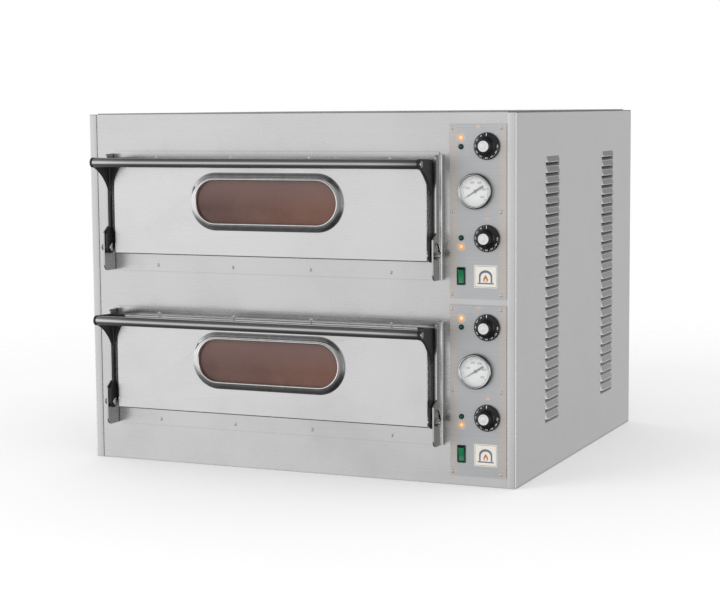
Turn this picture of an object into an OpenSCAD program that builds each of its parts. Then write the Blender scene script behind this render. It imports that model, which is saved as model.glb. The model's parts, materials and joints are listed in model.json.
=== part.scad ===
// Two-deck countertop pizza oven: folded-steel body, two baking chambers with
// drop-down doors, and a control bay on the right. +Z is up, the front faces -Y,
// and the origin is the centre of the base on the counter. Millimetres.

/* [Body] */
// Width over the side panels
body_w = 900; // [860:10:980]
// Depth from the front edge to the back panel
body_d = 785; // [760:5:850]
// Height from the counter to the top cover
body_h = 695; // [690:5:740]
// Thickness of the casing sheets
sheet_t = 1.2; // [1:0.1:1.5]
// Width of the folded edge down each side of the front
front_lip = 16.5; // [12:0.5:20]
// Height of the top cover above the side panels
top_step = 1.9; // [1.6:0.1:4]
// Clearance left in the seams between sheets
seam = 0.1; // [0.05:0.05:0.2]

/* [Ovens] */
// Sideways position of the middle of the chambers
oven_x = -46.5; // [-50:0.5:-43]
// Height of the lower door's bottom edge
lower_door_z = 108.5; // [100:0.5:115]
// Height from one door to the next
door_pitch = 310; // [300:1:318]
// Width of a chamber and of its mouth
chamber_w = 660; // [640:2:664]
// Depth of a chamber
chamber_d = 658; // [600:2:680]
// Height of a chamber's mouth
mouth_h = 150; // [140:1:152]
// Height of the baking surface above the door's bottom edge
hearth_up = 15; // [12:1:18]
// Thickness of the hearth stones
stone_t = 15; // [12:1:18]
// Room under the hearth stones for the base elements
element_room = 24; // [20:1:28]
// Thickness of the chamber liner
liner_t = 1.5; // [1:0.1:2]

/* [Doors] */
// Width of a door
door_w = 668; // [664:1:670]
// Height of a door
door_h = 185; // [180:1:188]
// Distance from the front panel to the door's outer face
door_out = 28; // [26:0.5:30]
// Distance from the front panel to the door's inner face
door_gap = 3.5; // [3:0.1:4]
// Width over the window bezel
window_w = 328; // [280:2:400]
// Height over the window bezel
window_h = 112; // [100:1:118]
// Height of the window's middle above the door's bottom edge
window_up = 106; // [98:1:110]
// Sideways distance from the middle of the door to the middle of the window
window_shift = 2.5; // [0:0.5:4]
// Width of the window bezel's band
bezel_band = 15; // [12:1:18]
// Thickness of a window pane
pane_t = 4; // [3:0.5:5]

/* [Handle and hinges] */
// Diameter of the handle bar
bar_d = 18; // [14:0.5:20]
// Distance from the front panel to the handle bar's axis
bar_out = 88; // [85:1:100]
// Height of the handle bar's axis above the door's bottom edge
bar_up = 182; // [178:1:184]
// Distance between the arms' inner faces
arm_span = 681; // [680:1:682]
// Thickness of a cast arm
arm_t = 4.5; // [4:0.5:6]
// Distance from the front panel to the hinge axis
pivot_out = 32; // [31:0.5:33]
// Height of the hinge axis above the door's bottom edge
pivot_up = 12.5; // [12:0.5:13]
// Angle from closed to fully open
door_travel = 80; // [60:1:84]
// Radius of the stop slot about the hinge axis
slot_r = 20; // [18:0.5:21]
// Radius of the stop pin that runs in the slot
stop_pin_r = 3.8; // [3:0.1:4]
// Distance that a hinge cheek stands out from the front panel
cheek_out = 43; // [41:0.5:45]

/* [Controls] */
// Width of a control panel
panel_w = 110.5; // [108:0.5:114]
// Height of a control panel
panel_h = 320; // [310:1:324]
// Thickness of a control panel
panel_t = 1.5; // [1:0.1:2]
// Sideways position of the middle of the control panels
panel_x = 377; // [374:1:379]
// Height of the middle of the lower control panel
lower_panel_z = 178.5; // [176:0.5:181]
// Height from one control panel to the next
panel_pitch = 333; // [332:1:336]
// Radius of a thermostat knob's skirt
knob_r = 25; // [22:0.5:27]
// Distance that a knob stands out from the control panel
knob_out = 24; // [20:0.5:26]
// Radius of a thermometer's bezel
gauge_r = 33; // [32:0.5:35]
// Distance that a thermometer's bezel stands out from the control panel
gauge_out = 10; // [6:0.5:12]

/* [Louvres] */
// Number of louvres in a column
louvre_count = 26; // [10:1:28]
// Height from one louvre to the next
louvre_pitch = 19.8; // [18:0.1:21]
// Length of a louvre
louvre_len = 86; // [60:1:100]
// Height of a louvre's hood
louvre_h = 11.6; // [10:0.2:13]
// Height of the open slot below a louvre's hood
louvre_slot = 7.2; // [3:0.2:7.2]
// Distance that a louvre stands out from the side panel
louvre_out = 4.5; // [3:0.5:6]

/* [Hidden] */
$fn = 64;
cut = 1;
side_x = body_w / 2;
back_y = body_d / 2;
front_y = -body_d / 2 + sheet_t;
shell_h = body_h - top_step;
bend_r = 2.5;
return_w = 30;
sheet_back_y = front_y + sheet_t;

hearth_w = chamber_w / 2 - 2;
hearth_d = chamber_d - 6;
liner_drop = stone_t + element_room;
liner_h = mouth_h + liner_drop;
liner_front_y = sheet_back_y + seam;
liner_back_y = liner_front_y + chamber_d + liner_t;
ledge_w = 18;
oven_left = oven_x - chamber_w / 2;
oven_right = oven_x + chamber_w / 2;
partition_x = oven_right + 27;
wool_gap = 0.2;

tube_r = 4;
tube_hole_r = 4.6;
bend_pitch = 100;
hairpins = [-200, 0, 200];
hairpin_y = front_y + 340;
tube_left = oven_left + 100;
tube_end = partition_x + 12;
top_tube_up = hearth_up + mouth_h - 12;
base_tube_up = hearth_up - stone_t - 12;
lamp_y = front_y + 600;
lamp_up = 105;
lamp_r = 16;

frame_t = 1.5;
frame_below = 35;
frame_above = 17;
frame_half_w = arm_span / 2 + 7;
screw_pitch = 167;
screw_cols = [-1.5, -0.5, 0.5, 1.5];
screw_rows = [-23.5, 190];

cheek_t = 3;
cheek_in = arm_span / 2 + arm_t + 3.4;
cheek_bottom = -34;
cheek_top = 197;
cheek_neck = 27;
cheek_foot = 5;
cheek_bend = 4.5;
bolt_r = 4;
bolt_head_r = 8;
bolt_head_h = 3.6;
nut_af = 13;
nut_h = 6.5;
thin_nut_h = 3.2;

stem_out = 31.1;
web_back = 23;
web_top = 189;
web_bottom = 123;
web_curve = [120, 78.5];
web_curve_r = 100;
arm_head_r = 9.8;
flange_t = 3;
flange_w = 31;
flange_curve_r = 130;
flange_curve_up = 100;
lobe_r = 12.5;
lobe_back = 15;
lobe_top = 53;
shoulder_drop = 13;
ear_r = 5.8;
closed_angle = 84;
open_angle = closed_angle - door_travel;
pin_length = 13.4;

skin_t = 1;
inner_skin_t = 1.2;
door_chamfer = 5;
straight = window_w - window_h;
glass_open = window_h - 2 * bezel_band;
pane_h = glass_open + 12;

knob_x = 17.7;
knob_ups = [120, -48.5];
gauge_x = -5;
gauge_up = 37.5;
lamp_x = -33;
pilot_ups = [119, -48.5];
switch_x = -33.2;
switch_up = -119;
badge_x = 14.8;
badge_up = -119;
badge_w = 45.5;
badge_h = 42;
panel_screw_x = [-50.5, 45];
panel_screw_ups = [-153, 0, 153];
panel_open_w = 84;
panel_open_h = 292;
spindle_r = 3;
spindle_back = 22;
run_gap = 0.05;
grip_r = 13.5;
cap_r = 9.5;
gauge_case_r = 30.5;
dial_r = 28.3;
rocker_w = 11.4;
rocker_half = 12.8;
rocker_tilt = 10;
rocker_in = 2;

louvre_cols = [-174, 207];
louvre_z = 354.8;
louvre_t = 1;

steel = "#c9cacb";
dull_steel = "#a9abad";
black_cast = "#26262a";
panel_grey = "#b3b2b0";

// Deck 0 is the lower one, deck 1 the upper one.
function door_z(deck) = lower_door_z + deck * door_pitch;
function panel_z(deck) = lower_panel_z + deck * panel_pitch;
function arc_point(r, a) = [pivot_out - r * sin(a), pivot_up + r * cos(a)];

// ---- placing ----

// Children's +Z points out of the front, +Y up; the origin is on the front panel.
module on_front(x, z, out = 0) {
    translate([x, front_y - out, z]) rotate([90, 0, 0]) children();
}

// Children's +X points out of the front, +Y up, and +Z to the left.
module in_side_plane(x) {
    translate([x, front_y, 0]) rotate([90, 0, -90]) children();
}

// A flat plate of thickness t whose right face is at x, from a side-view outline.
module side_plate(x, t) {
    in_side_plane(x) linear_extrude(t) children();
}

module at_deck(deck) {
    translate([0, 0, door_z(deck)]) children();
}

// Repeats a right-hand hinge part on both sides of a door.
module both_hinge_sides() {
    for (side = [0, 1]) translate([oven_x, 0, 0]) mirror([side, 0, 0]) children();
}

module block(lo, hi) {
    translate(lo) cube(hi - lo);
}

// ---- outlines ----

module stadium(w, h) {
    square([w - h, h], center = true);
    for (side = [-1, 1]) translate([side * (w - h) / 2, 0]) circle(h / 2);
}

module centred_rect(w, h) {
    square([w, h], center = true);
}

// What a corner of radius r loses; the corner is at the origin, the sheet at +X +Y.
module corner_waste(r) {
    difference() {
        translate([-cut, -cut]) square(r + cut);
        translate([r, r]) circle(r);
    }
}

module ring_2d(outer, inner) {
    difference() {
        circle(outer);
        circle(inner);
    }
}

// ---- casing ----

module base_pan() {
    flange_h = 22;
    lo = [-side_x + sheet_t + seam, sheet_back_y + seam, 0];
    hi = [side_x - sheet_t - seam, back_y - sheet_t - seam, flange_h];
    wall = [sheet_t, sheet_t, 0];
    color(dull_steel) difference() {
        block(lo, hi);
        block(lo + [0, 0, sheet_t] + wall, hi + [0, 0, cut] - wall);
    }
}

// Plan of a side panel on the right: a folded front lip and a rounded corner.
module side_panel_plan() {
    difference() {
        translate([side_x - front_lip, -body_d / 2]) square([front_lip, body_d]);
        translate([side_x - front_lip - cut, -body_d / 2 + sheet_t])
            square([front_lip + cut - bend_r, body_d]);
        translate([side_x - front_lip - cut, -body_d / 2 + bend_r])
            square([front_lip + cut - sheet_t, body_d]);
        translate([side_x, -body_d / 2]) mirror([1, 0]) corner_waste(bend_r);
    }
    translate([side_x - bend_r, -body_d / 2 + bend_r]) intersection() {
        ring_2d(bend_r, bend_r - sheet_t);
        translate([0, -bend_r]) square(bend_r);
    }
}

module side_panel() {
    union() {
        linear_extrude(shell_h) side_panel_plan();
        block([side_x - return_w, sheet_back_y + seam, shell_h - sheet_t],
              [side_x - sheet_t, back_y - sheet_t - seam, shell_h]);
    }
}

module left_side_panel() {
    color(steel) mirror([1, 0, 0]) side_panel();
}

// Side view of one pressed louvre's hood, out from the sheet and up.
module louvre_hood_outline() {
    polygon([
        [0, louvre_h / 2], [louvre_out, -louvre_h / 2 + 3], [louvre_out, -louvre_h / 2],
        [louvre_out - louvre_t, -louvre_h / 2], [louvre_out - louvre_t, -louvre_h / 2 + 2.7],
        [0, louvre_h / 2 - 2.4]
    ]);
}

module louvre_end_outline() {
    polygon([
        [0, louvre_h / 2], [louvre_out, -louvre_h / 2 + 3],
        [louvre_out, -louvre_h / 2], [0, -louvre_h / 2]
    ]);
}

// Lays a side-view outline along the side panel, over a length in Y.
module along_side(y, len) {
    translate([side_x, y + len / 2, 0]) rotate([90, 0, 0]) linear_extrude(len) children();
}

module louvre_places() {
    for (y = louvre_cols, i = [0 : louvre_count - 1])
        translate([0, y, louvre_z + (i - (louvre_count - 1) / 2) * louvre_pitch]) children();
}

module right_side_panel() {
    slot_half = louvre_len / 2 - louvre_t;
    color(steel) difference() {
        union() {
            side_panel();
            louvre_places() {
                along_side(0, louvre_len) louvre_hood_outline();
                for (side = [-1, 1])
                    along_side(side * (louvre_len - louvre_t) / 2, louvre_t)
                        louvre_end_outline();
            }
        }
        louvre_places() {
            block([side_x - sheet_t - cut, -slot_half, -louvre_h / 2 - cut],
                  [side_x, slot_half, louvre_h / 2 - 2.4]);
            block([side_x - sheet_t - cut, -slot_half, -louvre_h / 2 - louvre_slot],
                  [side_x + cut, slot_half, -louvre_h / 2]);
        }
    }
}

module back_panel() {
    gland_hole_r = 10.1;
    color(dull_steel) difference() {
        block([-side_x + sheet_t + seam, back_y - sheet_t, 0],
              [side_x - sheet_t - seam, back_y, shell_h]);
        translate([panel_x, back_y + cut, 60]) rotate([90, 0, 0])
            cylinder(h = sheet_t + 2 * cut, r = gland_hole_r);
    }
}

module top_cover() {
    half_w = side_x - front_lip - 0.5;
    lo = [-half_w, sheet_back_y + 2, shell_h + seam];
    hi = [half_w, back_y - 2, body_h];
    wall = [sheet_t, sheet_t, 0];
    color(steel) difference() {
        block(lo, hi);
        block(lo + wall - [0, 0, cut], hi - wall - [0, 0, sheet_t]);
    }
}

module mouth_outline(grow) {
    translate([0, hearth_up + mouth_h / 2])
        centred_rect(chamber_w + 2 * grow, mouth_h + 2 * grow);
}

module frame_screw_places(deck) {
    for (c = screw_cols, z = screw_rows)
        on_front(oven_x + c * screw_pitch, door_z(deck) + z) children();
}

module panel_screw_places(deck) {
    for (x = panel_screw_x, z = panel_screw_ups)
        on_front(panel_x + x, panel_z(deck) + z) children();
}

module front_panel() {
    top_return = 20;
    screw_hole_r = 1.6;
    color(steel) difference() {
        union() {
            block([-side_x + bend_r + seam, front_y + seam / 2, 0],
                  [side_x - bend_r - seam, sheet_back_y, shell_h]);
            block([-side_x + return_w + seam, front_y + seam / 2, shell_h - sheet_t],
                  [side_x - return_w - seam, front_y + top_return, shell_h]);
        }
        for (deck = [0, 1]) {
            on_front(oven_x, door_z(deck), -sheet_t - cut)
                linear_extrude(sheet_t + 2 * cut) mouth_outline(2);
            on_front(panel_x, panel_z(deck), -sheet_t - cut)
                linear_extrude(sheet_t + 2 * cut) centred_rect(panel_open_w, panel_open_h);
            frame_screw_places(deck)
                translate([0, 0, -sheet_t - cut]) cylinder(h = 5, r = screw_hole_r);
            panel_screw_places(deck)
                translate([0, 0, -sheet_t - cut]) cylinder(h = 5, r = screw_hole_r);
        }
    }
}

// ---- chambers ----

module element_hole_places(deck) {
    for (y = hairpins, leg = [-0.5, 0.5], up = [top_tube_up, base_tube_up])
        translate([0, hairpin_y + y + leg * bend_pitch, door_z(deck) + up])
            rotate([0, 90, 0]) children();
}

module lamp_place(deck) {
    translate([0, lamp_y, door_z(deck) + lamp_up]) rotate([0, 90, 0]) children();
}

// Holes along X for the elements' legs and the lamp, through a wall from x to x + t.
module service_holes(x, t) {
    for (deck = [0, 1]) {
        element_hole_places(deck)
            translate([0, 0, x - cut]) cylinder(h = t + 2 * cut, r = tube_hole_r);
        lamp_place(deck)
            translate([0, 0, x - cut]) cylinder(h = t + 2 * cut, r = lamp_r + 0.5);
    }
}

module partition_wall() {
    color(dull_steel) difference() {
        block([partition_x, sheet_back_y + 2, sheet_t + seam],
              [partition_x + sheet_t, back_y - sheet_t - 2, shell_h - sheet_t - seam]);
        service_holes(partition_x, sheet_t);
    }
}

module chamber_liner(deck) {
    floor_z = door_z(deck) + hearth_up - liner_drop;
    lo = [oven_left, liner_front_y, floor_z];
    hi = [oven_right, liner_back_y - liner_t, floor_z + liner_h];
    wall = [liner_t, 0, liner_t];
    ledge_z = floor_z + element_room;
    color(dull_steel) difference() {
        union() {
            difference() {
                block(lo - wall, hi + wall + [0, liner_t, 0]);
                block(lo - [0, cut, 0], hi);
            }
            block([lo[0], lo[1], ledge_z - liner_t], [lo[0] + ledge_w, hi[1], ledge_z]);
            block([hi[0] - ledge_w, lo[1], ledge_z - liner_t], [hi[0], hi[1], ledge_z]);
            block([oven_x - ledge_w, lo[1], ledge_z - liner_t],
                  [oven_x + ledge_w, hi[1], ledge_z]);
        }
        service_holes(oven_right, liner_t);
    }
}

module hearth_stones(deck) {
    top_z = door_z(deck) + hearth_up;
    color("#c8b79a") for (side = [0, 1])
        translate([oven_x, liner_front_y + 2, top_z - stone_t + seam / 2])
            mirror([side, 0, 0]) translate([0.5, 0, 0])
                cube([hearth_w, hearth_d, stone_t - seam]);
}

// One hairpin of sheathed tube: two legs along X joined by a half turn on the left.
module hairpin_element() {
    leg_len = tube_end - tube_left;
    for (leg = [-0.5, 0.5])
        translate([tube_left, leg * bend_pitch, 0]) rotate([0, 90, 0])
            cylinder(h = leg_len, r = tube_r);
    translate([tube_left, 0, 0]) rotate(90) rotate_extrude(angle = 180)
        translate([bend_pitch / 2, 0]) circle(tube_r);
}

module heating_elements(deck) {
    color("#5b5048") for (y = hairpins, up = [top_tube_up, base_tube_up])
        translate([0, hairpin_y + y, door_z(deck) + up]) hairpin_element();
}

// A lamp: a socket that passes through the wall, and a glass dome in the chamber.
module chamber_lamps() {
    flange_r = 22;
    color("#d8d2bc") for (deck = [0, 1]) lamp_place(deck) {
        translate([0, 0, oven_right - 3]) cylinder(h = 3 - seam, r = flange_r);
        translate([0, 0, oven_right - 3]) cylinder(h = 50, r = lamp_r);
        translate([0, 0, oven_right - 3]) mirror([0, 0, 1]) rotate_extrude()
            intersection() {
                circle(lamp_r);
                square(lamp_r);
            }
    }
}

module insulation_blankets() {
    left = -side_x + 2 * sheet_t + 2 * wool_gap;
    rear = back_y - 2 * sheet_t - 2 * wool_gap;
    front = sheet_back_y + 2 * sheet_t;
    top = shell_h - sheet_t - wool_gap;
    bottom = sheet_t + wool_gap;
    liner_left = oven_left - liner_t - wool_gap;
    liner_right = oven_right + liner_t + wool_gap;
    liner_rear = liner_back_y + wool_gap;
    function liner_bottom(deck) = door_z(deck) + hearth_up - liner_drop - liner_t - wool_gap;
    function liner_top(deck) = door_z(deck) + hearth_up + mouth_h + liner_t + wool_gap;
    color("#c9b25a") {
        block([left, front, bottom], [liner_left, rear, top]);
        difference() {
            block([liner_right, front, bottom],
                  [partition_x - wool_gap, rear, top]);
            service_holes(liner_right, partition_x - liner_right);
        }
        block([liner_left + wool_gap, liner_rear, bottom],
              [liner_right - wool_gap, rear, top]);
        block([liner_left + wool_gap, front, bottom],
              [liner_right - wool_gap, liner_rear - wool_gap, liner_bottom(0)]);
        block([liner_left + wool_gap, front, liner_top(0)],
              [liner_right - wool_gap, liner_rear - wool_gap, liner_bottom(1)]);
        block([liner_left + wool_gap, front, liner_top(1)],
              [liner_right - wool_gap, liner_rear - wool_gap, top]);
    }
}

// ---- mouths and hinges ----

module mouth_frames() {
    bottom = -frame_below;
    height = frame_below + hearth_up + mouth_h + frame_above + 20;
    color(steel) for (deck = [0, 1]) difference() {
        on_front(oven_x, door_z(deck)) linear_extrude(frame_t) difference() {
            translate([-frame_half_w, bottom]) square([2 * frame_half_w, height]);
            mouth_outline(0);
        }
        frame_screw_places(deck) translate([0, 0, -cut]) cylinder(h = 5, r = 1.6);
    }
}

// A domed screw head on a short shank; the head's seat is at the origin.
module small_screw(head_r, shank) {
    head_h = head_r * 0.45;
    translate([0, 0, -shank]) cylinder(h = shank, r = 1.5);
    rotate_extrude() polygon([
        [0, 0], [head_r, 0], [head_r, head_h * 0.35], [head_r * 0.7, head_h * 0.85],
        [head_r * 0.35, head_h], [0, head_h]
    ]);
}

module mouth_frame_screws() {
    color("#e4e4e2") for (deck = [0, 1]) frame_screw_places(deck)
        translate([0, 0, frame_t]) small_screw(3.2, frame_t + sheet_t);
}

// Side view of a cheek, out from the front panel and up from the door's bottom edge.
module cheek_outline() {
    shoulder = [42, 54];
    difference() {
        polygon([
            [0, cheek_bottom], [cheek_out, cheek_bottom], [cheek_out, shoulder[0]],
            [cheek_neck, shoulder[1]], [cheek_neck, cheek_top], [0, cheek_top]
        ]);
        translate([cheek_out, cheek_bottom]) mirror([1, 0]) corner_waste(13);
        translate([cheek_neck, cheek_top]) mirror([1, 0]) mirror([0, 1]) corner_waste(5);
    }
}

module stop_slot(depth) {
    half_w = stop_pin_r + 0.3;
    translate([pivot_out, pivot_up, 0]) rotate(90 + open_angle)
        rotate_extrude(angle = door_travel)
            translate([slot_r - half_w, 0]) square([2 * half_w, depth]);
    for (a = [open_angle, closed_angle]) translate(arc_point(slot_r, a))
        cylinder(h = depth, r = half_w);
}

// A cheek is an L-section: a plate that stands out, and a foot on the front panel,
// with a rounded bend between them.
module hinge_cheeks() {
    x = cheek_in + cheek_t;
    color(steel) for (deck = [0, 1]) at_deck(deck) both_hinge_sides() difference() {
        union() {
            side_plate(x, cheek_t) cheek_outline();
            block([x, front_y - cheek_t, cheek_bottom],
                  [x + cheek_foot, front_y, cheek_top]);
            difference() {
                block([x - 1, front_y - cheek_t - cheek_bend, cheek_bottom],
                      [x + cheek_bend, front_y - 1, cheek_top]);
                translate([x + cheek_bend, front_y - cheek_t - cheek_bend, cheek_bottom - cut])
                    cylinder(h = cheek_top - cheek_bottom + 2 * cut, r = cheek_bend);
            }
        }
        in_side_plane(x + cut) {
            stop_slot(cheek_t + 2 * cut);
            translate([pivot_out, pivot_up, 0])
                cylinder(h = cheek_t + 2 * cut, r = bolt_r + 0.02);
        }
    }
}

module hinge_bolts() {
    head_x = arm_span / 2 - bolt_head_h;
    tip_x = cheek_in + cheek_t + nut_h + 3;
    color("#d5d5d3") for (deck = [0, 1]) at_deck(deck) both_hinge_sides()
        in_side_plane(tip_x) translate([pivot_out, pivot_up, 0]) {
            cylinder(h = tip_x - head_x, r = bolt_r);
            translate([0, 0, tip_x - head_x - bolt_head_h + 0.3])
                cylinder(h = bolt_head_h - 0.3, r = bolt_head_r);
        }
}

module hex_nut(h) {
    difference() {
        cylinder(h = h, r = nut_af / 2 / cos(30), $fn = 6);
        translate([0, 0, -cut]) cylinder(h = h + 2 * cut, r = bolt_r + 0.02);
    }
}

module hinge_nuts() {
    color("#dcdcda") for (deck = [0, 1]) at_deck(deck) both_hinge_sides() {
        in_side_plane(cheek_in + cheek_t + nut_h)
            translate([pivot_out, pivot_up, 0]) hex_nut(nut_h);
        in_side_plane(cheek_in)
            translate([pivot_out, pivot_up, 0]) hex_nut(thin_nut_h);
    }
}

// ---- doors ----

module window_hole(h, from, to) {
    on_front(oven_x + window_shift, window_up, from)
        linear_extrude(to - from) stadium(straight + h, h);
}

module door_outer_skin(deck) {
    lo = [oven_x - door_w / 2, front_y - door_out, 0];
    hi = [oven_x + door_w / 2, front_y - door_gap - inner_skin_t - seam, door_h];
    wall = [skin_t, skin_t, skin_t];
    color(steel) at_deck(deck) difference() {
        block(lo, hi);
        block(lo + wall, hi - wall + [0, skin_t + cut, 0]);
        block([lo[0] - cut, front_y - door_gap - 2 * door_chamfer + 3, -cut],
              [hi[0] + cut, front_y, door_chamfer + 1]);
        window_hole(glass_open + 4, door_out - 5, door_out + cut);
    }
}

// The inner skin's bottom edge is folded away from the mouth, to clear it as it opens.
module door_inner_skin(deck) {
    margin = skin_t + seam;
    c = door_chamfer;
    t = inner_skin_t;
    color(dull_steel) at_deck(deck) difference() {
        side_plate(oven_x + door_w / 2 - margin, door_w - 2 * margin) polygon([
            [door_gap, door_h - margin], [door_gap, c], [door_gap + c, 0],
            [door_gap + c + 1.7, 0], [door_gap + t, c + 0.5], [door_gap + t, door_h - margin]
        ]);
        window_hole(glass_open, 0, door_out);
    }
}

module door_insulation(deck) {
    margin = skin_t + 0.5;
    lo = [oven_x - door_w / 2 + margin, front_y - door_out + skin_t + seam, 10];
    hi = [oven_x + door_w / 2 - margin, front_y - door_gap - inner_skin_t - seam,
          door_h - margin];
    color("#c9b25a") at_deck(deck) difference() {
        block(lo, hi);
        window_hole(pane_h + 1, 0, door_out + cut);
    }
}

module window_bezel(deck) {
    step = 5;
    color("#8f9192") at_deck(deck) difference() {
        union() {
            window_hole(window_h, door_out + seam, door_out + 4);
            window_hole(window_h - 2 * step, door_out + seam, door_out + 6);
        }
        window_hole(glass_open, door_out - cut, door_out + 6 + cut);
    }
}

module window_glass(deck) {
    outer = door_out - skin_t - seam;
    inner = door_gap + inner_skin_t + seam;
    color([0.45, 0.3, 0.27, 0.5]) at_deck(deck) {
        window_hole(pane_h, outer - pane_t, outer);
        window_hole(pane_h, inner, inner + pane_t);
    }
}

module handle_bar(deck) {
    tapped_r = 2.5;
    color("#9a9b9c") at_deck(deck) difference() {
        in_side_plane(oven_x + arm_span / 2) translate([bar_out, bar_up, 0])
            cylinder(h = arm_span, r = bar_d / 2);
        for (x = [oven_x - arm_span / 2 - cut, oven_x + arm_span / 2 - 20])
            translate([x, front_y - bar_out, bar_up]) rotate([0, 90, 0])
                cylinder(h = 20 + cut, r = tapped_r);
    }
}

// Side view of an arm: head round the bar, curved web, stem and pivot lobe.
module arm_outline() {
    ear = arc_point(slot_r, closed_angle);
    lobe_front = pivot_out + lobe_r;
    shoulder = lobe_top - shoulder_drop;
    translate([bar_out, bar_up]) circle(arm_head_r);
    difference() {
        polygon([
            [web_back, web_top], [bar_out, bar_up + arm_head_r],
            [bar_out, web_bottom], [web_back, web_bottom]
        ]);
        translate(web_curve) circle(web_curve_r);
    }
    translate([web_back, pivot_up]) square([stem_out - web_back, web_bottom + 1 - pivot_up]);
    polygon([
        [lobe_front, pivot_up], [lobe_front, shoulder], [stem_out, lobe_top],
        [web_back, lobe_top], [lobe_back, shoulder], [lobe_back, pivot_up]
    ]);
    translate([pivot_out, pivot_up]) circle(lobe_r);
    translate(ear) circle(ear_r);
    translate([ear[0], ear[1] - ear_r + 1]) square([pivot_out - ear[0], 2 * ear_r - 2]);
}

// Front view of the arm's flange on the right, from its outer edge at x = 0 inwards.
module flange_outline() {
    difference() {
        translate([-flange_w, flange_curve_up])
            square([flange_w, web_top - flange_curve_up]);
        translate([-arm_t - flange_curve_r, flange_curve_up]) circle(flange_curve_r);
    }
}

module door_arm() {
    x = arm_span / 2 + arm_t;
    difference() {
        union() {
            side_plate(x, arm_t) arm_outline();
            on_front(x, 0, door_out + seam) linear_extrude(flange_t) flange_outline();
            in_side_plane(x + pin_length - arm_t)
                translate(arc_point(slot_r, closed_angle))
                    cylinder(h = pin_length, r = stop_pin_r);
        }
        in_side_plane(x + cut) {
            translate([pivot_out, pivot_up, 0])
                cylinder(h = arm_t + 2 * cut, r = bolt_r + run_gap);
            translate([bar_out, bar_up, 0]) cylinder(h = arm_t + 2 * cut, r = 2.6);
        }
    }
}

module door_arms(deck) {
    color(black_cast) at_deck(deck) both_hinge_sides() door_arm();
}

module handle_screws(deck) {
    shank_r = 2.45;
    head_r = 6.2;
    head_h = 2.6;
    x = arm_span / 2 + arm_t + head_h;
    color("#cfcfce") at_deck(deck) both_hinge_sides()
        in_side_plane(x) translate([bar_out, bar_up, 0]) {
            cylinder(h = head_h, r = head_r);
            cylinder(h = head_h + arm_t + 15, r = shank_r);
        }
}

// ---- controls ----

module at_panel(deck, x, up, out = 0) {
    on_front(panel_x + x, panel_z(deck) + up, out) children();
}

module control_panel(deck) {
    hole_h = panel_t + 2 * cut;
    color(panel_grey) difference() {
        at_panel(deck, 0, 0) linear_extrude(panel_t) centred_rect(panel_w, panel_h);
        panel_screw_places(deck) translate([0, 0, -cut]) cylinder(h = hole_h, r = 1.6);
        for (up = knob_ups) at_panel(deck, knob_x, up, -cut)
            cylinder(h = hole_h, r = 5.1);
        for (up = pilot_ups) at_panel(deck, lamp_x, up, -cut)
            cylinder(h = hole_h, r = 4.1);
        at_panel(deck, gauge_x, gauge_up, -cut) cylinder(h = hole_h, r = gauge_case_r + 0.2);
        at_panel(deck, switch_x, switch_up, -cut) linear_extrude(hole_h)
            centred_rect(14.6, 30.6);
    }
}

module control_panel_screws() {
    color("#e4e4e2") for (deck = [0, 1]) panel_screw_places(deck)
        translate([0, 0, panel_t]) small_screw(3, panel_t + 3);
}

module gauge_places() {
    for (deck = [0, 1]) at_panel(deck, gauge_x, gauge_up) children();
}

// A cup behind the panel, with a rolled bezel in front of it.
module thermometer_cases() {
    back = 24;
    color("#d9dadb") gauge_places() difference() {
        union() {
            translate([0, 0, -back]) cylinder(h = back + panel_t + 1, r = gauge_case_r);
            translate([0, 0, panel_t]) rotate_extrude() polygon([
                [dial_r - 4, 0], [gauge_r, 0], [gauge_r, gauge_out - 3],
                [gauge_r - 1.2, gauge_out - 0.8], [gauge_r - 2.4, gauge_out],
                [gauge_r - 4, gauge_out], [gauge_r - 4, gauge_out - 1.2], [dial_r - 4, gauge_out - 1.2]
            ]);
            translate([0, 0, -back - 14]) cylinder(h = 15, r = 6);
        }
        translate([0, 0, -back + 2]) cylinder(h = back + 20, r = dial_r + 0.3);
        translate([0, 0, -back]) cylinder(h = 5, r = 0.8 + run_gap);
    }
}

module thermometer_dials() {
    color("#f4f4f2") gauge_places() difference() {
        translate([0, 0, 0.6]) cylinder(h = 1.2, r = dial_r + 0.2);
        cylinder(h = 5, r = 0.8 + run_gap);
    }
}

module thermometer_glasses() {
    color([0.9, 0.95, 1, 0.3]) gauge_places()
        translate([0, 0, panel_t + gauge_out - 3]) cylinder(h = 1.4, r = dial_r + 0.2);
}

// The needle at rest points down and to the left, at the bottom of its scale.
module thermometer_needle(deck) {
    rest_angle = 212;
    up = 2.8;
    color("#202024") at_panel(deck, gauge_x, gauge_up) {
        translate([0, 0, -20]) cylinder(h = 20 + up, r = 0.8);
        translate([0, 0, up - 0.4]) cylinder(h = 1.6, r = 3);
        translate([0, 0, up]) linear_extrude(0.6) rotate(rest_angle) polygon([
            [-18, -2.2], [-18, 2.2], [0, 1.2], [23, 0.3], [23, -0.3], [0, -1.2]
        ]);
    }
}

module thermostat_bodies() {
    color("#d6cfc0") for (deck = [0, 1], up = knob_ups) at_panel(deck, knob_x, up)
        difference() {
            union() {
                translate([-19, -17, -45]) cube([38, 34, 45 - seam]);
                translate([0, 0, -5]) cylinder(h = 5 + panel_t + 1, r = 5);
            }
            translate([0, 0, -30]) cylinder(h = 40, r = spindle_r + run_gap);
        }
}

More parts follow.
